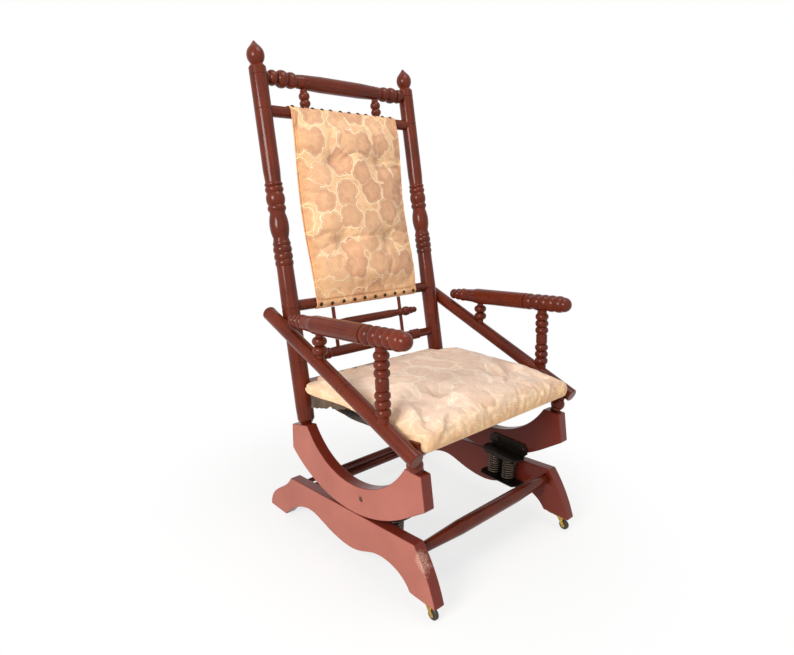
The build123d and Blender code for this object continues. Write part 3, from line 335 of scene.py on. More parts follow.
def planed_softwood(name):
    """Planed softwood with no finish, for the hidden seat frame: dry, matt and straw-brown."""
    material, add, shader = new_material(name)
    place = add("TexCoord").outputs["Object"]
    # Growth rings cut lengthwise, 4 mm apart and 140 mm long.
    along = add("Mapping", {"Vector": place, "Scale": (0.14, 0.004, 0.004)}, vector_type="TEXTURE")
    rings = add("TexNoise", {"Vector": along, "Scale": 1.0, "Detail": 5.0, "Distortion": 0.4})
    light = bpy.context.scene.rocker_wood.frame_wood
    colour = add("ValToRGB", {"Fac": rings}, stops=((0.3, srgb("#7c5232")), (0.62, tuple(light))))
    bump = add("Bump", {"Height": rings, "Strength": 0.3, "Distance": 0.0004})
    fill(shader, {"Base Color": colour, "Normal": bump, "Roughness": 0.7})
    return material


def printed_cotton(name, ground, figure, outline, tuft, painted_light_border, fading):
    """Printed cotton furnishing cloth: matt crossing threads with a soft sheen, filled rosettes
    with pale double outlines, greyed where it was leant on, painted shade round each tuft and a
    warmer yellow down its sides as painted light."""
    fabric = bpy.context.scene.rocker_fabric
    material, add, shader = new_material(name)
    cloth = add("Attribute", attribute_name="print").outputs["Vector"]
    # Rosettes at the print's real spacing, drawn by a hand that wavers a few millimetres.
    spread = add("VectorMath SCALE", {0: cloth, "Scale": 1 / fabric.figure_size})
    wave = add("TexNoise", {"Vector": spread, "Scale": 2.2, "Detail": 2.0})
    centred = add("VectorMath SUBTRACT", {0: wave.outputs["Color"], 1: (0.5, 0.5, 0.5)})
    waved = add("VectorMath MULTIPLY_ADD", {0: centred, 1: (0.34, 0.34, 0), 2: spread})
    flat_colour = ground
    for scale, lobes, reach, strength in ((2.3, 1.5, 0.24, 0.5), (1.0, 2.5, 0.39, 1.0)):
        cells = add("TexVoronoi", {"Vector": waved, "Scale": scale, "Randomness": 0.6},
            voronoi_dimensions="2D")
        offset = add("VectorMath SUBTRACT", {0: waved, 1: cells.outputs["Position"]})
        part = add("SeparateXYZ", {0: offset})
        chance = add("SeparateColor", {0: cells.outputs["Color"]})
        turn = add("Math ARCTAN2", {0: part.outputs[1], 1: part.outputs[0]})
        started = add("Math MULTIPLY", {0: chance.outputs[0], 1: 6.0})
        phase = add("Math MULTIPLY_ADD", {0: turn, 1: lobes, 2: started})
        swing = add("Math COSINE", {0: phase})
        bulge = add("Math ABSOLUTE", {0: swing})
        lobe = add("Math POWER", {0: bulge, 1: 0.65})
        size = add("Math MULTIPLY_ADD", {0: chance.outputs[1], 1: 0.09, 2: reach})
        rim = add("Math MULTIPLY_ADD", {0: lobe, 1: 0.12, 2: size})
        depth = add("Math MULTIPLY_ADD", {0: cells, 1: -1.0, 2: rim})
        inside = add("MapRange", {"Value": depth, "From Min": -0.05, "From Max": 0.35})
        filled = add("ValToRGB", {"Fac": inside}, stops=((0.12, grey(0)), (0.16, grey(1)),
            (0.5, grey(0.8)), (1.0, grey(0.5))))
        share = add("MapRange", {"Value": chance.outputs[2], "To Min": 0.45 * strength,
            "To Max": strength})
        amount = add("Math MULTIPLY", {0: filled, 1: share})
        body = add("Mix RGBA", {"Factor": amount, "A": flat_colour, "B": figure})
        peak, faint = grey(0.95 * strength), grey(0.45 * strength)
        line = add("ValToRGB", {"Fac": inside}, stops=((0.06, grey(0)), (0.1, peak), (0.16, peak),
            (0.2, grey(0)), (0.26, grey(0)), (0.29, faint), (0.32, faint), (0.35, grey(0))))
        flat_colour = add("Mix RGBA", {"Factor": line, "A": body, "B": outline})
    # Soiling: greyed patches 120 mm across. Painted shade: darker round each tuft's hollow.
    soil = add("TexNoise", {"Vector": cloth, "Scale": 8.0, "Detail": 5.0, "Roughness": 0.6})
    soiled = add("MapRange", {"Value": soil, "From Min": 0.5, "From Max": 0.78, "To Max": fading})
    folded = add("VectorMath ABSOLUTE", {0: cloth})
    flat = add("VectorMath MULTIPLY", {0: folded, 1: (1, 1, 0)})
    near = add("VectorMath DISTANCE", {0: flat, 1: (tuft[0], tuft[1], 0)})
    tuft_painted_shade = add("MapRange", {"Value": near, "From Min": 0.03, "From Max": 0.004, "To Max": 0.34})
    soil_and_painted_shade = add("Math ADD", {0: soiled, 1: tuft_painted_shade})
    worn = add("Mix RGBA", {"Factor": soil_and_painted_shade, "A": flat_colour, "B": srgb("#93705c")})
    # Painted light: the sides are tinted a warmer yellow, as a lit side looks.
    limit = add("VectorMath MULTIPLY", {0: folded, 1: (1 / painted_light_border[0], 1 / painted_light_border[1], 0)})
    limits = add("SeparateXYZ", {0: limit})
    far = add("Math MAXIMUM", {0: limits, 1: limits.outputs[1]})
    painted_lit_sides = add("MapRange", {"Value": far, "From Min": 0.8, "From Max": 1.14})
    worn = add("Mix RGBA", {"Factor": painted_lit_sides, "A": worn, "B": srgb("#ffecc8")},
        blend_type="MULTIPLY")
    # Plain weave of two crossing sets of threads.
    threads = [add("TexWave", {"Vector": cloth, "Scale": pi / 10 / fabric.thread,
        "Distortion": 0.6, "Detail": 1.0, "Detail Scale": 3.0}, bands_direction=direction)
        for direction in ("X", "Y")]
    weave = add("Math MAXIMUM", {0: threads[0].outputs["Fac"], 1: threads[1].outputs["Fac"]})
    thread_tone = add("MapRange", {"Value": weave, "To Min": 0.9, "To Max": 1.03})
    woven = add("Mix RGBA", {"Factor": 1.0, "A": worn, "B": thread_tone}, blend_type="MULTIPLY")
    bump = add("Bump", {"Height": weave, "Strength": 0.35, "Distance": 0.0005})
    # Small creases of worn cloth, 8 to 30 mm long.
    crease = add("TexNoise", {"Vector": cloth, "Scale": 55.0, "Detail": 4.0, "Distortion": 1.2})
    creased = add("Bump", {"Height": crease, "Strength": 1.2 * fading, "Distance": 0.004,
        "Normal": bump})
    fill(shader, {"Base Color": woven, "Normal": creased, "Roughness": 0.86,
        "Sheen Weight": 0.18, "Sheen Roughness": 0.5})
    return material


def seen_by_camera(add):
    """1 for rays that show the studio to the camera, in a mirror or through glass."""
    rays = add("LightPath").outputs
    seen = add("Math MAXIMUM", {0: rays["Is Camera Ray"], 1: rays["Is Glossy Ray"]})
    return add("Math MAXIMUM", {0: seen, 1: rays["Is Transmission Ray"]})


def woven_cloth(name, light, dark, pitch):
    """Coarse plain-woven lining cloth: visible crossing threads, dusty and quite matt."""
    material, add, shader = new_material(name)
    place = add("TexCoord").outputs["Object"]
    threads = [add("TexWave", {"Vector": place, "Scale": pi / 10 / pitch, "Distortion": 1.2,
        "Detail": 2.0}, bands_direction=direction) for direction in ("X", "Y", "Z")]
    pair = add("Math ADD", {0: threads[1].outputs["Fac"], 1: threads[2].outputs["Fac"]})
    weave = add("Math MAXIMUM", {0: threads[0].outputs["Fac"], 1: pair})
    dust = add("TexNoise", {"Vector": place, "Scale": 22.0, "Detail": 5.0, "Roughness": 0.6})
    tone = add("Math MULTIPLY_ADD", {0: weave, 1: 0.22, 2: dust})
    colour = add("ValToRGB", {"Fac": tone}, stops=((0.45, srgb(dark)), (0.9, srgb(light))))
    bump = add("Bump", {"Height": weave, "Strength": 0.4, "Distance": 0.0005})
    fill(shader, {"Base Color": colour, "Normal": bump, "Roughness": 0.92, "Sheen Weight": 0.12})
    return material


def aged_metal(name, colour, stain, metallic, rough, grit):
    """Handled metal under years of grime: a clear highlight broken by dull, darker spots."""
    material, add, shader = new_material(name)
    place = add("TexCoord").outputs["Object"]
    spots = add("TexNoise", {"Vector": place, "Scale": 1 / grit, "Detail": 6.0, "Roughness": 0.65})
    tone = add("MapRange", {"Value": spots, "From Min": 0.42, "From Max": 0.66})
    mixed = add("Mix RGBA", {"Factor": tone, "A": colour, "B": stain})
    dull = add("MapRange", {"Value": tone, "To Min": rough, "To Max": min(1.0, rough + 0.3)})
    bump = add("Bump", {"Height": spots, "Strength": 0.15, "Distance": 0.0003})
    fill(shader, {"Base Color": mixed, "Roughness": dull, "Normal": bump, "Metallic": metallic})
    return material


def worn_rubber(name):
    """Hard moulded rubber tread: almost black, dusty, with fine scratches round the wheel."""
    material, add, shader = new_material(name)
    place = add("TexCoord").outputs["Object"]
    dust = add("TexNoise", {"Vector": place, "Scale": 400.0, "Detail": 4.0, "Roughness": 0.7})
    colour = add("ValToRGB", {"Fac": dust}, stops=((0.4, srgb("#17140f")),
        (0.72, srgb("#4a443a"))))
    bump = add("Bump", {"Height": dust, "Strength": 0.2, "Distance": 0.0003})
    fill(shader, {"Base Color": colour, "Normal": bump, "Roughness": 0.55})
    return material


# ---- Making pieces ----

def new_piece(name, mesh, materials):
    """A piece at the origin, from its mesh and materials."""
    for material in materials:
        mesh.materials.append(material)
    piece = bpy.data.objects.new(name, mesh)
    bpy.context.scene.collection.objects.link(piece)
    return piece


def node_mesh(node):
    """A welded copy of a CAD node's mesh, as a bmesh."""
    work = bmesh.new()
    work.from_mesh(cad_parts[node].data)
    bmesh.ops.remove_doubles(work, verts=work.verts, dist=1e-6)
    return work


def to_mesh(work, name):
    """The plain, smooth-shaded mesh of a bmesh, which is then freed."""
    mesh = bpy.data.meshes.new(name)
    work.to_mesh(mesh)
    work.free()
    mesh.shade_smooth()
    return mesh


def baked(piece):
    """The mesh of a piece with its modifiers, which come off the piece."""
    graph = bpy.context.evaluated_depsgraph_get()
    mesh = bpy.data.meshes.new_from_object(piece.evaluated_get(graph), depsgraph=graph)
    piece.modifiers.clear()
    mesh.name = piece.name
    piece.data = mesh
    return mesh


def finish_nodes(material, names):
    """Gives CAD nodes their finish."""
    for name in names:
        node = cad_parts[name]
        if not node.material_slots:
            node.data.materials.append(material)
        for holder in node.material_slots:
            holder.material = material


def eased(value, start, end):
    """Smooth rise from 0 at start to 1 at end."""
    share = np.clip((value - start) / (end - start), 0, 1)
    return share * share * (3 - 2 * share)


def points_of(mesh):
    """Vertex places of a mesh as an array."""
    places = np.empty(len(mesh.vertices) * 3)
    mesh.vertices.foreach_get("co", places)
    return places.reshape(-1, 3)


def laid_out(mesh, origin, *ways):
    """Vertex places of a mesh, and how far they lie from an origin along some directions."""
    places = points_of(mesh)
    return places, *((places - np.array(origin)) @ way for way in ways)


def put_points(mesh, places):
    """Moves a mesh's vertices to these places."""
    mesh.vertices.foreach_set("co", places.ravel())
    mesh.update()


def swell(piece, held, cap, slack):
    """Plumps a closed cushion with cloth under pressure. Held vertices stay, and cap
    gives the most that each of the others may move."""
    mesh = piece.data
    before = points_of(mesh)
    group = piece.vertex_groups.new(name="held")
    group.add([int(place) for place in np.nonzero(held)[0]], 1.0, "REPLACE")
    cloth = piece.modifiers.new("filling", "CLOTH")
    settings = cloth.settings
    settings.vertex_group_mass = "held"
    settings.use_pressure = True
    settings.uniform_pressure_force = bpy.context.scene.rocker_fabric.pressure
    settings.effector_weights.gravity = 0
    settings.mass = 0.3
    settings.quality = 6
    settings.shrink_min = settings.shrink_max = -slack
    settings.bending_stiffness = 0.3
    cloth.point_cache.frame_start = 1
    cloth.point_cache.frame_end = SWELL_FRAMES
    for step in range(1, SWELL_FRAMES + 1):
        bpy.context.scene.frame_set(step)
    graph = bpy.context.evaluated_depsgraph_get()
    move = points_of(piece.evaluated_get(graph).data) - before
    piece.modifiers.clear()
    piece.vertex_groups.clear()
    bpy.context.scene.frame_set(1)
    length = np.linalg.norm(move, axis=1)
    move *= np.minimum(1.0, cap / np.maximum(length, 1e-9))[:, None]
    put_points(mesh, before + move)


def spread_print(mesh, origin, across, along, out, edge):
    """Stores where each point lies on the flat cloth, which folds down a cushion's sides."""
    places = points_of(mesh) - np.array(origin)
    outward = np.empty(len(mesh.vertices) * 3)
    mesh.vertex_normals.foreach_get("vector", outward)
    outward = outward.reshape(-1, 3)
    drop = np.clip(edge - places @ out, 0, None)
    flat = np.stack((places @ across + (outward @ across) * drop,
                     places @ along + (outward @ along) * drop, np.zeros(len(places))), 1)
    layer = mesh.attributes.new("print", "FLOAT_VECTOR", "POINT")
    layer.data.foreach_set("vector", flat.ravel())


def drawn_in(first, second, tuft, depth, reach, count, seed):
    """How far four tufts draw each place in: small pits with folds that spread from them."""
    total = 0
    for row in (-1, 1):
        for column in (-1, 1):
            offset_x, offset_y = first - column * tuft[0], second - row * tuft[1]
            away = np.hypot(offset_x, offset_y)
            turn = np.arctan2(offset_y, offset_x)
            start = seed + row + 2 * column
            pit = np.exp(-(away / TUFT_PIT) ** 2)
            folds = np.exp(-(away / reach) ** 1.5) * (1 - pit)
            crest = np.cos(count * turn + start) + 0.5 * np.cos((count + 3) * turn - 2 * start)
            total += depth * pit - 0.12 * depth * folds * crest
    return total


def cushion(node, name, cover, spacing):
    """A piece with an even mesh in the shape of a CAD cushion."""
    piece = new_piece(name, to_mesh(node_mesh(node), name), [cover])
    voxels = piece.modifiers.new("even", "REMESH")
    voxels.mode = "VOXEL"
    voxels.voxel_size = spacing
    baked(piece)
    return piece


def finish_cushion(piece, origin, along, out, edge):
    """Smooths a cushion and lays its print."""
    smooth = piece.modifiers.new("soft", "SUBSURF")
    smooth.levels = smooth.render_levels = 1
    baked(piece).shade_smooth()
    spread_print(piece.data, origin, ACROSS, along, out, edge)


def add_faces(work, rows):
    """Fills a grid of vertices with faces."""
    for low, high in zip(rows, rows[1:]):
        for column in range(len(low) - 1):
            work.faces.new((low[column], low[column + 1], high[column + 1], high[column]))


def cloth_piece(name, work, slot, materials, **solidify):
    """A piece of cloth, from its faces and how it is thickened."""
    piece = new_piece(name, to_mesh(work, name), materials)
    solid = piece.modifiers.new("thickness", "SOLIDIFY")
    for setting, value in solidify.items():
        setattr(solid, setting, value)
    baked(piece).shade_smooth()
    return piece


def at_hole(edge):
    """Whether an edge belongs to a hole or a socket and not to the board's outline."""
    middle = (edge.verts[0].co + edge.verts[1].co) / 2
    way = edge.verts[1].co - edge.verts[0].co
    outward = [face.normal for face in edge.link_faces if abs(face.normal.x) < 0.5]
    ray = outward[0] if outward else Vector((0, 0, 1))
    for y, z, radius in HOLES:
        offset = Vector((0, middle.y - y, middle.z - z))
        if offset.length < radius + 0.0008 and abs(offset.dot(way)) < way.length * 0.002:
            return offset.dot(ray) < 0
    return False


def sling(cover, lining):
    """The cloth that runs up the front of both panel rails and over them."""
    span = PANEL_RAIL_HIGH - PANEL_RAIL_LOW
    first, last = SLING_TURNS
    low, steps, high, columns = 9, 60, 17, 132
    profile = [(PANEL_RAIL_LOW, first * (1 - step / low)) for step in range(low + 1)]
    profile += [(PANEL_RAIL_LOW + span * step / steps, 0) for step in range(1, steps)]
    profile += [(PANEL_RAIL_HIGH, last * step / high) for step in range(high + 1)]
    work = bmesh.new()
    flat = work.verts.layers.float_vector.new("print")
    rows = []
    for middle, turn in profile:
        row = []
        for column in range(columns + 1):
            x = PANEL_HALF * (2 * column / columns - 1)
            radius = SLING_RADIUS
            ruck = 0.0
            for _, rail, nail_turn, count in NAIL_TURNS:
                if abs(rail - middle) < 1e-6 and abs(turn) > 0.05:
                    pitch = NAIL_SPAN / (count - 1)
                    phase = (x + NAIL_SPAN / 2) / pitch
                    between = (1 - cos(2 * pi * phase)) / 2
                    close = max(0.0, 1 - abs(turn - nail_turn) / 0.9)
                    uneven = 0.7 + 0.5 * noise.noise(Vector((x * 40, rail * 9, 0)))
                    radius += NAIL_PUCKER * between * close * uneven
                    edge = abs(turn - (last if turn > 0 else first)) < 1e-6
                    ruck = 0.1 * between * uneven if edge else 0.0
            angle = turn + (ruck if turn > 0 else -ruck)
            point = work.verts.new(on_back(x, middle + radius * sin(angle),
                                           radius * cos(angle) - sling_give(middle)))
            point[flat] = (x, middle + radius * angle - PANEL_TUFT_MIDDLE, 0)
            row.append(point)
        rows.append(row)
    add_faces(work, rows)
    bmesh.ops.recalc_face_normals(work, faces=work.faces)
    work.faces.ensure_lookup_table()
    if work.faces[len(work.faces) // 2].normal.y > 0:
        bmesh.ops.reverse_faces(work, faces=work.faces)
    piece = cloth_piece("back_sling_cloth", work, "backing_cloth", [cover, lining],
                        thickness=0.0011, offset=0.0, material_offset=1,
                        material_offset_rim=0)
    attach(piece, "rocker")
    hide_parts("back_sling")


def nail_row(row, rail, turn, count, brass):
    """One row of domed nails, set a little unevenly along a rail."""
    metal = bpy.context.scene.rocker_metal
    surface = SLING_RADIUS + 0.0009
    place = on_back(0, rail + surface * sin(turn), surface * cos(turn))
    values = {"Count": ("Int", count), "Span": ("Float", NAIL_SPAN),
              "Radius": ("Float", metal.nail_radius), "Rise": ("Float", metal.nail_rise),
              "Seed": ("Int", metal.nail_seed), "Place": ("Vector", tuple(place)),
              "Turn": ("Vector", (radians(90) - BACK_LEAN - turn, 0, 0))}
    tree = bpy.data.node_groups.new(f"nail_row_{row}", "GeometryNodeTree")
    for name, (kind, _) in values.items():
        tree.interface.new_socket(name, in_out="INPUT", socket_type="NodeSocket" + kind)
    tree.interface.new_socket("Geometry", in_out="OUTPUT", socket_type="NodeSocketGeometry")
    add = partial(add_node, tree)
    given = add("NodeGroupInput").outputs
    half = add("Math MULTIPLY", {0: given["Span"], 1: -0.5})
    start = add("CombineXYZ", {0: half})
    gaps = add("Math SUBTRACT", {0: given["Count"], 1: 1.0})
    pitch = add("Math DIVIDE", {0: given["Span"], 1: gaps})
    step = add("CombineXYZ", {0: pitch})
    line = add("GeometryNodeMeshLine", {"Count": given["Count"], "Start Location": start,
        "Offset": step})
    uneven = add("FunctionNodeRandomValue FLOAT_VECTOR", {0: (-0.0009, -0.0008, 0),
        1: (0.0009, 0.0008, 0), "Seed": given["Seed"]})
    placed = add("GeometryNodeSetPosition", {"Geometry": line, "Offset": uneven})
    ball = add("GeometryNodeMeshUVSphere", {"Segments": 20, "Rings": 12, "Radius": 1.0})
    flat = add("CombineXYZ", {0: given["Radius"], 1: given["Radius"], 2: given["Rise"]})
    head = add("GeometryNodeTransform", {"Geometry": ball, "Scale": flat})
    tilt = add("FunctionNodeRandomValue FLOAT_VECTOR", {0: (-0.12, -0.12, 0),
        1: (0.12, 0.12, 6.28), "Seed": given["Seed"]})
    heads = add("GeometryNodeInstanceOnPoints",
        {"Points": placed, "Instance": head, "Rotation": tilt})
    set_down = add("GeometryNodeTransform", {"Geometry": heads,
        "Translation": given["Place"], "Rotation": given["Turn"]})
    real = add("GeometryNodeRealizeInstances", {0: set_down})
    smooth = add("GeometryNodeSetShadeSmooth", {0: real})
    coated = add("GeometryNodeSetMaterial", {"Geometry": smooth, "Material": brass})
    add("NodeGroupOutput", {0: coated})

    piece = new_piece(f"nail_heads_{row}", bpy.data.meshes.new(f"nail_heads_{row}"), [])
    modifier = piece.modifiers.new("row", "NODES")
    modifier.node_group = tree
    for socket in tree.interface.items_tree:
        if socket.in_out == "INPUT":
            modifier[socket.identifier] = values[socket.name][1]
    baked(piece)
    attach(piece, "rocker")
    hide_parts(f"back_nails_{row}")


def both_sides(*parts):
    """CAD nodes of parts that each side has one of."""
    return [f"{part}_{side}" for part in parts for side, _ in SIDES]


# ---- Operators ----

TURNED = {
    "upright": (both_sides("back_post", "crest_spindle", "thin_rod", "arm_post",
                           "short_post", "neck"), (-BACK_LEAN, 0, 0)),
    "across": (("crest_rail", "upper_panel_rail", "lower_panel_rail", "bottom_back_rail",
                "drop_bar", "front_stretcher", "rear_stretcher_upper",
                "rear_stretcher_lower", "seat_front_rail", "seat_rear_rail"),
               (0, pi / 2, 0)),
    "side_rail": (both_sides("side_rail"), (radians(-70.1), 0, 0)),
    "arm": (both_sides("arm"), (radians(-95.8), 0, 0)),
}


class ROCKER_OT_turned_wood(bpy.types.Operator):
    """Stain and lacquer every turned piece, with the grain along it"""
    bl_idname = "rocker.turned_wood"
    bl_label = "Turned wood"

    def execute(self, context):
        for way, (names, turn) in TURNED.items():
            finish_nodes(lacquered_turned_beech(f"lacquered_turned_beech_{way}", turn), names)
        finish_nodes(planed_softwood("planed_softwood"), both_sides("seat_side_rail"))
        return {"FINISHED"}


class ROCKER_OT_boards(bpy.types.Operator):
    """Ease the edges of the base boards and rocker boards and paint them"""
    bl_idname = "rocker.boards"
    bl_label = "Boards"

    def execute(self, context):
        paint = painted_pine_board("painted_pine_board")
        arris = context.scene.rocker_wood.arris
        for side, sign in SIDES:
            for part, body in (("base_board", "base"), ("rocker_board", "rocker")):
                node = f"{part}_{side}"
                work = node_mesh(node)
                bmesh.ops.dissolve_limit(work, angle_limit=radians(0.4), verts=work.verts,
                                         edges=work.edges)
                faces = {sign * BOARD_MIDDLE - BOARD_HALF, sign * BOARD_MIDDLE + BOARD_HALF}
                rim = [edge for edge in work.edges
                       if edge.calc_face_angle(0) > SHARP_RIM
                       and any(all(abs(end.co.x - face) < 1e-5 for end in edge.verts)
                               for face in faces)
                       and not at_hole(edge)]
                corners = [edge for edge in work.edges
                           if edge.calc_face_angle(0) > SHARP_CORNER
                           and abs(edge.verts[0].co.x - edge.verts[1].co.x) > 1.9 * BOARD_HALF]
                bmesh.ops.bevel(work, geom=rim + corners, offset=arris, segments=3,
                                profile=0.5, affect="EDGES", clamp_overlap=True)
                bmesh.ops.triangulate(work, faces=work.faces)
                piece = new_piece(f"eased_{node}", to_mesh(work, node), [paint])
                weighted = piece.modifiers.new("flat faces", "WEIGHTED_NORMAL")
                weighted.weight = 100
                baked(piece)
                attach(piece, body)
                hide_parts(node)
        return {"FINISHED"}


class ROCKER_OT_seat(bpy.types.Operator):
    """Plump the tufted seat and cover it in the faded print"""
    bl_idname = "rocker.seat"
    bl_label = "Seat"

    def execute(self, context):
        fabric = context.scene.rocker_fabric
        cover = printed_cotton(
            "printed_cotton_faded", fabric.seat_ground, fabric.seat_figure,
            fabric.seat_outline, SEAT_TUFT, (SEAT_HALF, SEAT_DEPTH / 2), 0.42)
        piece = cushion("seat_pad", "seat_cushion", cover, fabric.grain)
        mesh = piece.data
        back, up = np.array(SEAT_BACK), np.array(SEAT_UP)
        seat = (mesh, SEAT_CORNER, ACROSS, back, up)
        _, width, depth, height = laid_out(*seat)
        width = np.abs(width)
        near = np.hypot(width - SEAT_TUFT[0], np.abs(depth - SEAT_DEPTH / 2) - SEAT_TUFT[1])
        inside = (width < SEAT_HALF - 0.016) & (depth > 0.018)
        held = (((height < SEAT_UNDERSIDE) & inside) | (height < 0.003)
                | ((near < TUFT_PINNED) & (height > 0.03)))
        cap = np.where(depth > SEAT_DEPTH - 0.04, 0.003, fabric.seat_swell)
        cap = np.where(width > SEAT_HALF - 0.025, np.minimum(cap, 0.004), cap)
        swell(piece, held, cap, 0.05)
        places, width, depth, height = laid_out(*seat)
        width = np.abs(width)
        # The cover's lower edge has crept up the sides, most at the middle of their length.
        crept = eased(depth, 0.06, 0.2) * (COVER_CREEP - 0.008 * eased(depth, 0.24, 0.37))
        skirt = np.clip((0.026 - height) / 0.033, 0, 1) * (width > 0.2115)
        # At the back it laps over the rear rail, between the posts.
        lap = (COVER_LAP * eased(height, 0.022, 0.03) * eased(depth, 0.365, 0.392)
               * eased(-width, -0.208, -0.188))
        put_points(mesh, places + up * (crept * skirt)[:, None] + back * lap[:, None])
        places, width, depth, height = laid_out(*seat)
        pull = drawn_in(width, depth - SEAT_DEPTH / 2, SEAT_TUFT, 0.007, 0.05, 7, 1.3)
        wrinkle = np.array([noise.noise(Vector(place) * 26) + 0.5 * noise.noise(
            Vector((place[0] * 60, place[1] * 34, place[2] * 60))) for place in places])
        top = np.clip((height - 0.03) / 0.02, 0, 1)
        put_points(mesh, places - up * (top * (pull + 0.0019 * wrinkle))[:, None])
        finish_cushion(piece, on_seat(0, SEAT_DEPTH / 2), back, up, 0.04)
        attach(piece, "rocker")
        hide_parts("seat_pad")
        return {"FINISHED"}


class ROCKER_OT_back(bpy.types.Operator):
    """Plump the back's padded panel, sling its cloth round the rails and set the nails"""
    bl_idname = "rocker.back"
    bl_label = "Back"

    def execute(self, context):
        fabric = context.scene.rocker_fabric
        cover = printed_cotton("printed_cotton", fabric.ground, fabric.figure, fabric.outline,
                               PANEL_TUFT, (PANEL_HALF, 0.25), 0.16)
        lining = woven_cloth("woven_jute_lining", "#b3926a", "#7a5d3d", 0.0018)
        piece = cushion("back_pad", "back_cushion", cover, fabric.grain * 0.9)
        mesh = piece.data
        along, ahead = np.array(BACK_UP), np.array(BACK_AHEAD)
        pad = (mesh, BACK_FOOT, ACROSS, along, ahead)
        _, width, rise, out = laid_out(*pad)
        proud = out - PAD_REAR + sling_give(rise)
        near = np.hypot(np.abs(width) - PANEL_TUFT[0],
                        np.abs(rise - PANEL_TUFT_MIDDLE) - PANEL_TUFT[1])
        ends = np.minimum(rise - PANEL_LOW, PANEL_HIGH - rise)
        held = (proud < 0.003) | ((near < TUFT_PINNED) & (proud > 0.007)) | (ends < 0.004)
        cap = np.minimum(fabric.back_swell, 0.002 + np.clip(ends, 0, 1) * 0.25)
        swell(piece, held, cap, 0.03)
        places, width, rise, out = laid_out(*pad)
        proud = out - PAD_REAR + sling_give(rise)
        front = np.clip((proud - 0.006) / 0.008, 0, 1)
        pull = drawn_in(width, rise - PANEL_TUFT_MIDDLE, PANEL_TUFT, 0.006, 0.03, 6, 0.7)
        # Both ends thin out to the cloth that is nailed on.
        ends = np.minimum(rise - PANEL_LOW, PANEL_HIGH - rise)
        thinned = 0.8 * np.maximum(proud, 0) * (1 - eased(ends, 0, 0.05))
        put_points(mesh, places - ahead * (front * pull + thinned)[:, None])
        finish_cushion(piece, on_back(0, PANEL_TUFT_MIDDLE), along, ahead, 0.008)
        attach(piece, "rocker")
        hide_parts("back_pad")
        sling(cover, lining)
        brass = aged_metal("darkened_brass_nail", context.scene.rocker_metal.nail,
                           srgb("#15120d"), 0.9, 0.28, 0.003)
        for row, rail, turn, count in NAIL_TURNS:
            nail_row(row, rail, turn, count, brass)
        return {"FINISHED"}


class ROCKER_OT_under_cloth(bpy.types.Operator):
    """Hang the torn dark cloth under the seat"""
    bl_idname = "rocker.under_cloth"
    bl_label = "Under cloth"

    def execute(self, context):
        cloth = woven_cloth("woven_cotton_black", "#5c4630", "#1c130b", 0.0015)
        half, front, rear = 0.2075, 0.024, 0.412
        columns, rows, strip_columns, strip_rows = 90, 78, 60, 8
        side, start, length = -0.238, 0.235, 0.132
        deepest, ruffled = 0.028, 0.004

        def sagging(row, column):
            """A place in the cloth under the seat."""
            back = front + (rear - front) * row / rows
            across = half * (2 * column / columns - 1)
            share = float(np.clip((back - front - 0.02) / (rear - front - 0.04), 0, 1))
            sag = deepest * sin(pi * share ** 1.3) * (1 - 0.25 * abs(across / half) ** 3)
            ruffle = ruffled * noise.noise(Vector((across * 14, back * 14, 3.0)))
            loose = min(1.0, share * 5) * min(1.0, (1 - share) * 6)
            return on_seat(across, back, -0.0008 - sag * loose - abs(ruffle) * loose)

        def hanging(row, column):
            """A place in the strip that still hangs from the near side, longest at the rear."""
            share = column / strip_columns
            top = 0.024 - 0.01 * share
            low = 0.014 - 0.034 * share + 0.006 * noise.noise(Vector((share * 9, 5, 0)))
            fold = 0.003 * noise.noise(Vector((share * 6, row * 0.2, 9)))
            return on_seat(side - fold, start + length * share,
                           top + (low - top) * row / strip_rows)

        work = bmesh.new()
        for place, across, down in ((sagging, columns, rows),
                                    (hanging, strip_columns, strip_rows)):
            add_faces(work, [[work.verts.new(place(row, column)) for column in range(across + 1)]
                             for row in range(down + 1)])
        piece = cloth_piece("torn_under_cloth", work, "under_cloth", [cloth],
                            thickness=0.0008, offset=-1.0)
        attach(piece, "rocker")
        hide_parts("seat_under_cloth")
        return {"FINISHED"}


class ROCKER_OT_springs(bpy.types.Operator):
    """Finish the four coils in rubbed spring wire and their brackets in blackened steel"""
    bl_idname = "rocker.springs"
    bl_label = "Springs"

    def execute(self, context):
        metal = context.scene.rocker_metal
        steel = aged_metal("blackened_pressed_steel", metal.steel, srgb("#33291f"), 0.6, 0.34,
                           0.004)
        wire = aged_metal("rubbed_spring_wire", metal.coil, srgb("#3a3028"), 0.85, 0.26, 0.003)
        for side, _ in SIDES:
            for end in ("front", "rear"):
                node = f"spring_{side}_{end}"
                piece = new_piece(f"coil_{side}_{end}", to_mesh(node_mesh(node), node),
                                  [wire])
                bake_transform(piece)
                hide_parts(node)
        finish_nodes(steel, both_sides("spring_bracket_lower", "spring_bracket_upper"))
        fixings = aged_metal("tarnished_steel_fixing", srgb("#5d4034"), srgb("#2c1710"), 0.5,
                             0.4, 0.003)
        finish_nodes(fixings, ("base_screws", "rocker_bolts", "rocker_nuts", "rocker_screws"))
        return {"FINISHED"}


class ROCKER_OT_casters(bpy.types.Operator):
    """Finish the casters in rubbed brass and hard rubber"""
    bl_idname = "rocker.casters"
    bl_label = "Casters"

    def execute(self, context):
        brass = aged_metal("rubbed_cast_brass", context.scene.rocker_metal.brass,
                           srgb("#6d4f22"), 1.0, 0.24, 0.004)
        finish_nodes(brass, both_sides("caster_plate", "caster_horn", "caster_axle"))
        finish_nodes(worn_rubber("worn_moulded_rubber"), both_sides("caster_wheel"))
        return {"FINISHED"}


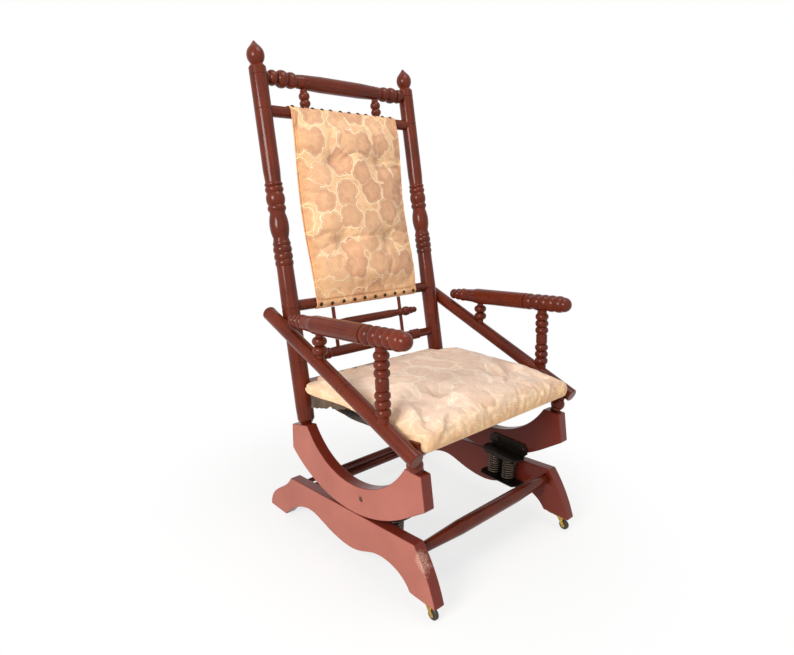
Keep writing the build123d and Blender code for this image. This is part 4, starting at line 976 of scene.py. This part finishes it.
class ROCKER_OT_stage(bpy.types.Operator):
    """Set the floor, the lamps and the camera"""
    bl_idname = "rocker.stage"
    bl_label = "Stage"

    def execute(self, context):
        scene = context.scene
        stage = scene.rocker_stage
        scene.view_settings.view_transform = "Standard"
        material, add, shader = new_material("pale_floor")
        fill(shader, {"Base Color": stage.floor, "Roughness": 0.9, "Specular IOR Level": 0.1})
        place = add("TexCoord").outputs["Object"]
        away = add("VectorMath LENGTH", {0: place})
        fade = add("MapRange", {"Value": away, "From Min": 0.3, "From Max": 0.75,
            "To Min": 0.75}, interpolation_type="SMOOTHSTEP")
        amount = add("Math MULTIPLY", {0: seen_by_camera(add), 1: fade})
        white = add("Emission", {"Color": (1, 1, 1, 1), "Strength": 1.0})
        both = add("MixShader", {0: amount, 1: shader.outputs[0], 2: white})
        output = next(node for node in material.node_tree.nodes if node.type == "OUTPUT_MATERIAL")
        fill(output, {"Surface": both})
        work = bmesh.new()
        bmesh.ops.create_grid(work, x_segments=1, y_segments=1, size=12)
        mesh = to_mesh(work, "floor")
        mesh.materials.append(material)
        floor = bpy.data.objects.new("floor", mesh)
        scene.collection.objects.link(floor)

        world = bpy.data.worlds.new("studio")
        scene.world = world
        world.use_nodes = True
        world.node_tree.nodes.clear()
        add = partial(add_node, world.node_tree)
        level = add("MapRange", {"Value": seen_by_camera(add), "To Min": 0.42, "To Max": 1.0})
        light = add("Background", {"Color": (1, 1, 1, 1), "Strength": level})
        add("OutputWorld", {"Surface": light})

        lamps = (("key", stage.key_power, (-2.1, -0.5, 1.35), 0.9),
                 ("top", stage.top_power, (0.1, -0.4, 2.4), 1.0),
                 ("fill", stage.fill_power, (-0.5, -2.6, 1.9), 1.8))
        for name, power, spot, size in lamps:
            lamp = bpy.data.lights.new(name, "AREA")
            lamp.energy = power
            lamp.size = size
            holder = bpy.data.objects.new(name, lamp)
            aim = Vector((0, 0, 0.5)) - Vector(spot)
            holder.matrix_world = Matrix.Translation(spot) @ aim.to_track_quat(
                "-Z", "Y").to_matrix().to_4x4()
            scene.collection.objects.link(holder)

        turn, down, roll = stage.azimuth, stage.elevation, stage.roll
        sight = Vector((sin(turn) * cos(down), cos(turn) * cos(down), -sin(down)))
        level_right = Vector((cos(turn), -sin(turn), 0))
        level_up = level_right.cross(sight)
        right = level_right * cos(roll) + level_up * sin(roll)
        up = level_up * cos(roll) - level_right * sin(roll)
        lens = bpy.data.cameras.new("camera")
        lens.lens = stage.lens
        lens.sensor_width = SENSOR
        lens.sensor_fit = "HORIZONTAL"
        lens.clip_end = 60
        camera = bpy.data.objects.new("camera", lens)
        camera.matrix_world = Matrix.Translation(CAMERA) @ Matrix(
            (right, up, -sight)).transposed().to_4x4()
        scene.collection.objects.link(camera)
        scene.camera = camera
        return {"FINISHED"}

OPERATORS = (ROCKER_OT_stage, ROCKER_OT_turned_wood, ROCKER_OT_boards, ROCKER_OT_seat,
             ROCKER_OT_back, ROCKER_OT_under_cloth, ROCKER_OT_springs, ROCKER_OT_casters)


class ROCKER_PT_pieces(bpy.types.Panel):
    """The rocker's pieces and settings in the sidebar"""
    bl_idname = "ROCKER_PT_pieces"
    bl_label = "Platform rocker"
    bl_space_type = "VIEW_3D"
    bl_region_type = "UI"
    bl_category = "Rocker"

    def draw(self, context):
        for operator in OPERATORS:
            self.layout.operator(operator.bl_idname)
        for name, group in GROUPS.items():
            box = self.layout.box()
            for prop in group.__annotations__:
                box.prop(getattr(context.scene, name), prop)


CLASSES = (*GROUPS.values(), *OPERATORS, ROCKER_PT_pieces)


def register():
    for item in CLASSES:
        bpy.utils.register_class(item)
    for name, group in GROUPS.items():
        setattr(bpy.types.Scene, name, PointerProperty(type=group))


def unregister():
    for name in GROUPS:
        delattr(bpy.types.Scene, name)
    for item in reversed(CLASSES):
        bpy.utils.unregister_class(item)


def main():
    """Makes every piece in order."""
    register()
    for operator in OPERATORS:
        group, name = operator.bl_idname.split(".")
        getattr(getattr(bpy.ops, group), name)()


if __name__ == "__main__":
    main()
